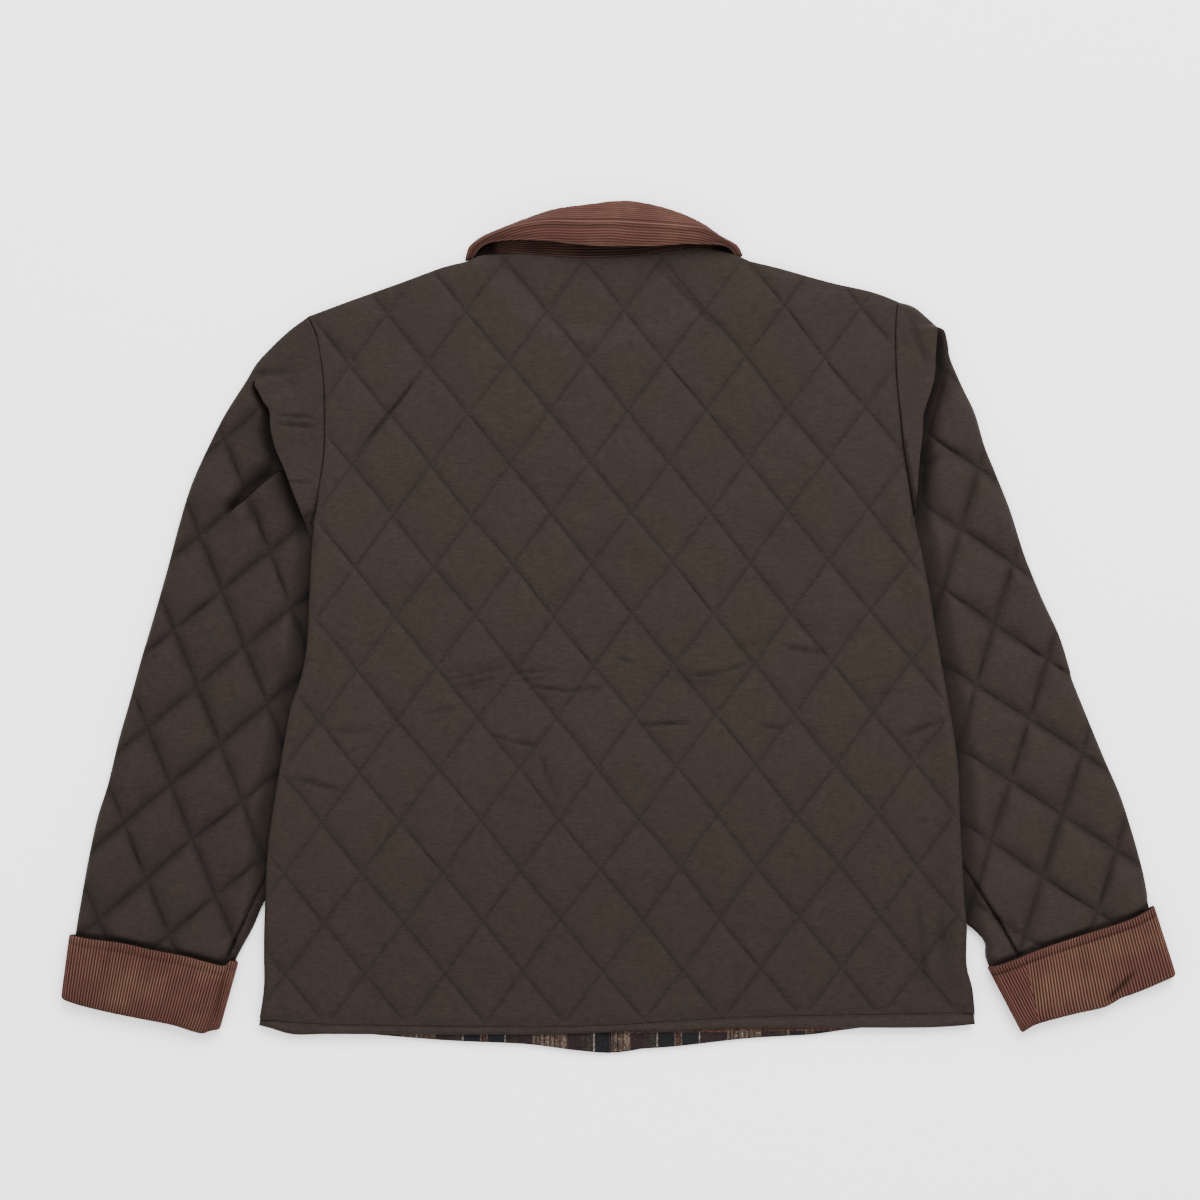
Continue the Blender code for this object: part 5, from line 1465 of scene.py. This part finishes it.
def make_front(side):
    """One front: its outline, its two sides, and the step where the other one crosses it."""
    left = side == "left"
    towards = 1 if left else -1
    edge = LAP_EDGES[side]
    step = LAP_EDGES["right"] - 3.0 if left else LAP_EDGES["left"] + 2.0

    def at(line, x):
        return float(np.interp(x, line[:, 0], line[:, 1]))

    def with_step(line):
        """The line with two points close beside the step."""
        kept = line[np.abs(line[:, 0] - step) > 4]
        extra = np.array([(x, at(line, x)) for x in (step - 1.5, step + 1.5)])
        both = np.vstack([kept, extra])
        return both[both[:, 0].argsort()]

    hem, neck = with_step(front_hem), with_step(front_neck)
    own = hem[towards * (edge - hem[:, 0]) > 2]
    own_neck = neck[towards * (edge - neck[:, 0]) > 2]
    front = straight([(edge, at(hem, edge)), (edge, at(neck, edge))], 8.0)
    armhole = lines["armhole_" + side]
    armhole = armhole[armhole[:, 1] > UNDERARM + 42]
    corner = [(armhole[-1, 0] + towards * 6.0, UNDERARM + 22)]
    body_line = lines[side]
    inner = curve(SLEEVES[side]["inner"], 4.0)
    limit = np.interp(inner[:, 1], body_line[::-1, 1], body_line[::-1, 0])
    beside = np.vstack([tucked_edge(side), inner[towards * (inner[:, 0] - limit) > 2]])
    beside = beside + (towards * 1.2, -0.8)
    free = body_line[:-1][body_line[:-1, 1] < beside[-1, 1] - 6] + (towards * 0.8, 0)
    seam = np.vstack([lines["shoulder_" + side][:-1], armhole, corner, beside, free])
    if left:
        outline = np.vstack([seam, own, front, own_neck[:0:-1]])
    else:
        outline = np.vstack([own, seam[::-1], own_neck[-2::-1], front[::-1]])
    outline = offset(outline, 0.5 * SEAM, True)
    quilt = Diamonds(BACK_DIAMONDS + ((10, 12), (0, 0), (0, 0)), 23 if left else 29)

    def bulk(p):
        """Lift over the ends of the collar, and height of the two fronts where they lap."""
        near = np.minimum(*[outside(p, leaf) for leaf in leaves])
        lift = (COLLAR_LEAF + SEAM) * (1 - soft(near, 19.0, 34.0))
        thinner = (FRONT_THICK - HEM_THICK) * (1 - soft(reach(p, front_hem), 30.0, 46.0))
        return lift, FRONT_THICK + 1.2 * over_leaves(p) - thinner

    def top(p):
        low, high = bulk(p)
        half = (low + high - 1.0) / 2
        z = high if left else np.where(p[:, 0] > step, high, half)
        return z - 0.8 * (1 - roll(reach(p, outline, True), 1.2))

    def under(p):
        low, high = bulk(p)
        z = np.where(p[:, 0] > step, (low + high + 1.0) / 2, low) if left else low
        away = reach(p, outline, True)
        groove = 0.9 - 0.9 * np.clip(quilt.rise(p, 1.1, 0.2, 5.0, 0.04), 0, 1)
        groove *= soft(away, 4, 12) * soft(reach(p, front_hem), 12, 16)
        return z + groove + 0.8 * (1 - roll(away, 1.6))

    lap = np.array([(x, y) for y in np.arange(-335, 225, 8.0) for x in (step - 1.5, step + 1.5)])
    edges = kept_apart(clear_of(lap, outline, 3), rings(outline, (1.0, 2.5)), 2.0)
    plain = kept_apart(edges, plain_grid(outline, 14.0, 6.0), 4.0)
    quilted = kept_apart(edges, quilt.spots(outline, 10, 4.0), 2.0)
    cloth = Cloth()
    cloth.strip(cloth.sheet(outline, plain, top), cloth.sheet(outline, quilted, under))
    front_piece = cloth.finish(f"front_{side}_cloth", shell_cotton, 40)
    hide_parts("front_" + side)


make_front("left")
make_front("right")

# ---- Collar ends -----------------------------------------------------------------------
# The front ends of the collar lie flat on the floor under the fronts, each a single leaf
# of corduroy with turned edges.


def flat_places(mesh):
    """x and y in mm of the point at each corner of the faces."""
    flat = np.empty(len(mesh.vertices) * 3)
    mesh.vertices.foreach_get("co", flat)
    return flat.reshape(-1, 3)[corners(mesh), :2].T / MM


def make_leaf(side, sign):
    """One front end of the collar, with its ribs along its length."""
    outline = straight(np.vstack([leaf_outline(sign), leaf_outline(sign)[:1]]), 4.0)[:-1]

    def turned(p):
        """1 at the edge, 0 past its rounding."""
        return 1 - roll(reach(p, outline, True), 1.6)

    spots = kept_apart(rings(outline, (0.8, 2.0)), plain_grid(outline, 8.0, 4.0), 2.0)
    piece = flat_panel(f"collar_end_{side}_cloth", outline, spots, spots,
                       lambda p: COLLAR_LEAF - 0.9 * turned(p), lambda p: 0.7 * turned(p), corduroy)
    x, y = flat_places(piece.data)
    lean = math.radians(38) * sign
    lay_map(piece.data, "ribs", (x * math.cos(lean) + y * math.sin(lean)) / RIB,
            (-x * math.sin(lean) + y * math.cos(lean)) / RIB)
    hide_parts("collar_end_" + side)


make_leaf("left", -1)
make_leaf("right", 1)

# ---- Lining ----------------------------------------------------------------------------
# The fronts' lining of woven plaid in navy, dark red and beige. A strip of it shows below
# the back's hem, with a step where the left front's edge lies on the right one.
SETT = 107.4            # repeat of the plaid
STRIPES = [  # start in mm from the beige block, colour
    (0.0, "beige"), (2.0, "dark"), (3.2, "tan"), (5.0, "dark"), (6.0, "beige"), (8.5, "dark"),
    (9.6, "tan"), (12.0, "white"), (12.8, "brown"), (15.0, "beige"), (17.2, "dark"),
    (18.4, "tan"), (21.0, "brown"), (23.0, "beige"), (27.4, "red"), (28.7, "maroon"),
    (39.0, "umber"), (44.0, "olive"), (49.4, "white"), (50.4, "navy"), (64.0, "tan"),
    (65.2, "dark"), (66.6, "rust"), (67.8, "dark"), (69.0, "tan"), (70.2, "navy"),
    (84.0, "white"), (85.0, "maroon"), (90.0, "umber"), (95.0, "maroon")]
COLOURS = {
    "beige": (0.0660, 0.0480, 0.0345), "tan": (0.0600, 0.0360, 0.0250),
    "white": (0.1200, 0.0960, 0.0800), "dark": (0.0136, 0.0093, 0.0081),
    "brown": (0.0279, 0.0174, 0.0130), "red": (0.0217, 0.0074, 0.0068),
    "maroon": (0.0112, 0.0046, 0.0046), "umber": (0.0130, 0.0074, 0.0062),
    "olive": (0.0149, 0.0118, 0.0087), "navy": (0.0028, 0.0031, 0.0042),
    "rust": (0.0434, 0.0174, 0.0112)}
LINING_TOP = -321.5     # y to which the strips run at least
PLAID_FOOT = 332.6      # the red weft line's distance below y = 0, at x = 0

plaid, tree, shader, coords = new_material("plaid_weave", 0.85, 0.15)
spot = coords.outputs["Object"]
along_hem, above_line = node(tree, "ShaderNodeSeparateXYZ", {0: coords.outputs["UV"]}).outputs[:2]
ramp = tree.nodes.new("ShaderNodeValToRGB")
ramp.color_ramp.interpolation = "CONSTANT"
stops = ramp.color_ramp.elements
while len(stops) < len(STRIPES):
    stops.new(0.999)
for stop, (start, colour) in zip(stops, STRIPES):
    stop.position = start / SETT
    stop.color = (*COLOURS[colour], 1.0)
tree.links.new(maths(tree, "FRACT", along_hem), ramp.inputs[0])
cloth = use(tree, weave, Vector=spot, Threads_per_metre=1500.0)
weft_line = maths(tree, "MULTIPLY", maths(tree, "GREATER_THAN", above_line, 0.0), 0.75)
colour = mixed(tree, weft_line, ramp.outputs[0], (0.055, 0.024, 0.016))
broken = maths(tree, "MULTIPLY_ADD", noise(tree, spot, 800.0, 4.0, 0.8), 5.5, -2.15)
light = maths(tree, "MULTIPLY", maths(tree, "MULTIPLY_ADD", cloth.outputs[1], 1.6, 1.0),
              maths(tree, "MAXIMUM", broken, 0.08))
tint(tree, shader, colour, light)
bump(tree, shader, cloth.outputs[0], 0.35, 0.0002)


def make_lining(side, start, end, phase):
    """The strip of lining along one front's hem; phase is where its plaid starts."""
    fine = curve(FRONT_HEM, 3.0)
    x = np.arange(start, end + 0.01, 2.0)
    y = np.interp(x, fine[:, 0], fine[:, 1]) + 0.6
    if side == "left":  # rounded where it ends at the lap
        y += 3.5 * (1 - roll(end - x, 5.0)) * (x > end - 5)
    else:
        y += 0.5
    outline = np.vstack([np.column_stack([x, y]),
                         np.column_stack([x, np.maximum(y + 6.0, LINING_TOP)])[::-1]])
    base = HEM_THICK + SEAM
    piece = flat_panel(f"lining_{side}_cloth", outline, rings(outline, (0.4, 1.2, 3.0), 0.8),
                       np.empty((0, 2)),
                       lambda p: base + 0.5 + 0.5 * roll(reach(p, outline, True), 1.0),
                       lambda p: np.full(len(p), base), plaid)
    px, py = flat_places(piece.data)
    above = py + PLAID_FOOT - 0.012 * px if side == "right" else np.full(len(px), -9.0)
    lay_map(piece.data, "sett", (px - phase) / SETT, above)
    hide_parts("lining_" + side)


make_lining("left", -214.0, LAP_EDGES["left"] - 0.6, -177.4)
make_lining("right", LAP_EDGES["left"] + 0.4, 212.0, 89.1 - SETT)

# ---- Floor, light and camera -----------------------------------------------------------
# A plain pale floor under soft studio light, and a camera straight above.
FLOOR_HALF, FLOOR_Z = 6.0, -0.0003      # metres
floor_material, _, shader, _ = new_material("pale_floor", 0.9, 0.1)
shader.inputs["Base Color"].default_value = (0.92, 0.92, 0.92, 1.0)
mesh = bpy.data.meshes.new("floor")
mesh.from_pydata([(x * FLOOR_HALF, y * FLOOR_HALF, FLOOR_Z)
                  for x, y in ((-1, -1), (1, -1), (1, 1), (-1, 1))], [], [(0, 1, 2, 3)])
mesh.materials.append(floor_material)
floor = link("floor", mesh)

world = bpy.data.worlds.new("studio")
world.use_nodes = True
background = world.node_tree.nodes["Background"]
background.inputs["Color"].default_value = (1.0, 1.0, 1.0, 1.0)
background.inputs["Strength"].default_value = 2.2
bpy.context.scene.world = world

for name, direction in (("left", (-1.0, 0.3, 1.3)), ("front", (0.0, -1.0, 1.0))):
    lamp = bpy.data.lights.new(name, "SUN")
    lamp.energy = 0.3
    lamp.angle = math.radians(60)
    link(name, lamp).rotation_euler = Vector(direction).to_track_quat("Z", "Y").to_euler()

lamp = bpy.data.lights.new("key", "AREA")
lamp.shape = "SQUARE"
lamp.size = 3.0
lamp.energy = 430.0
key = link("key", lamp)
key.location = (0.9, 3.2, 2.9)
key.rotation_euler = key.location.to_track_quat("Z", "Y").to_euler()

view = bpy.data.cameras.new("camera")
view.lens = 100.0
view.sensor_width = 36.0
camera = link("camera", view)
camera.location = (-0.015, 0.022, 2.733)
bpy.context.scene.camera = camera
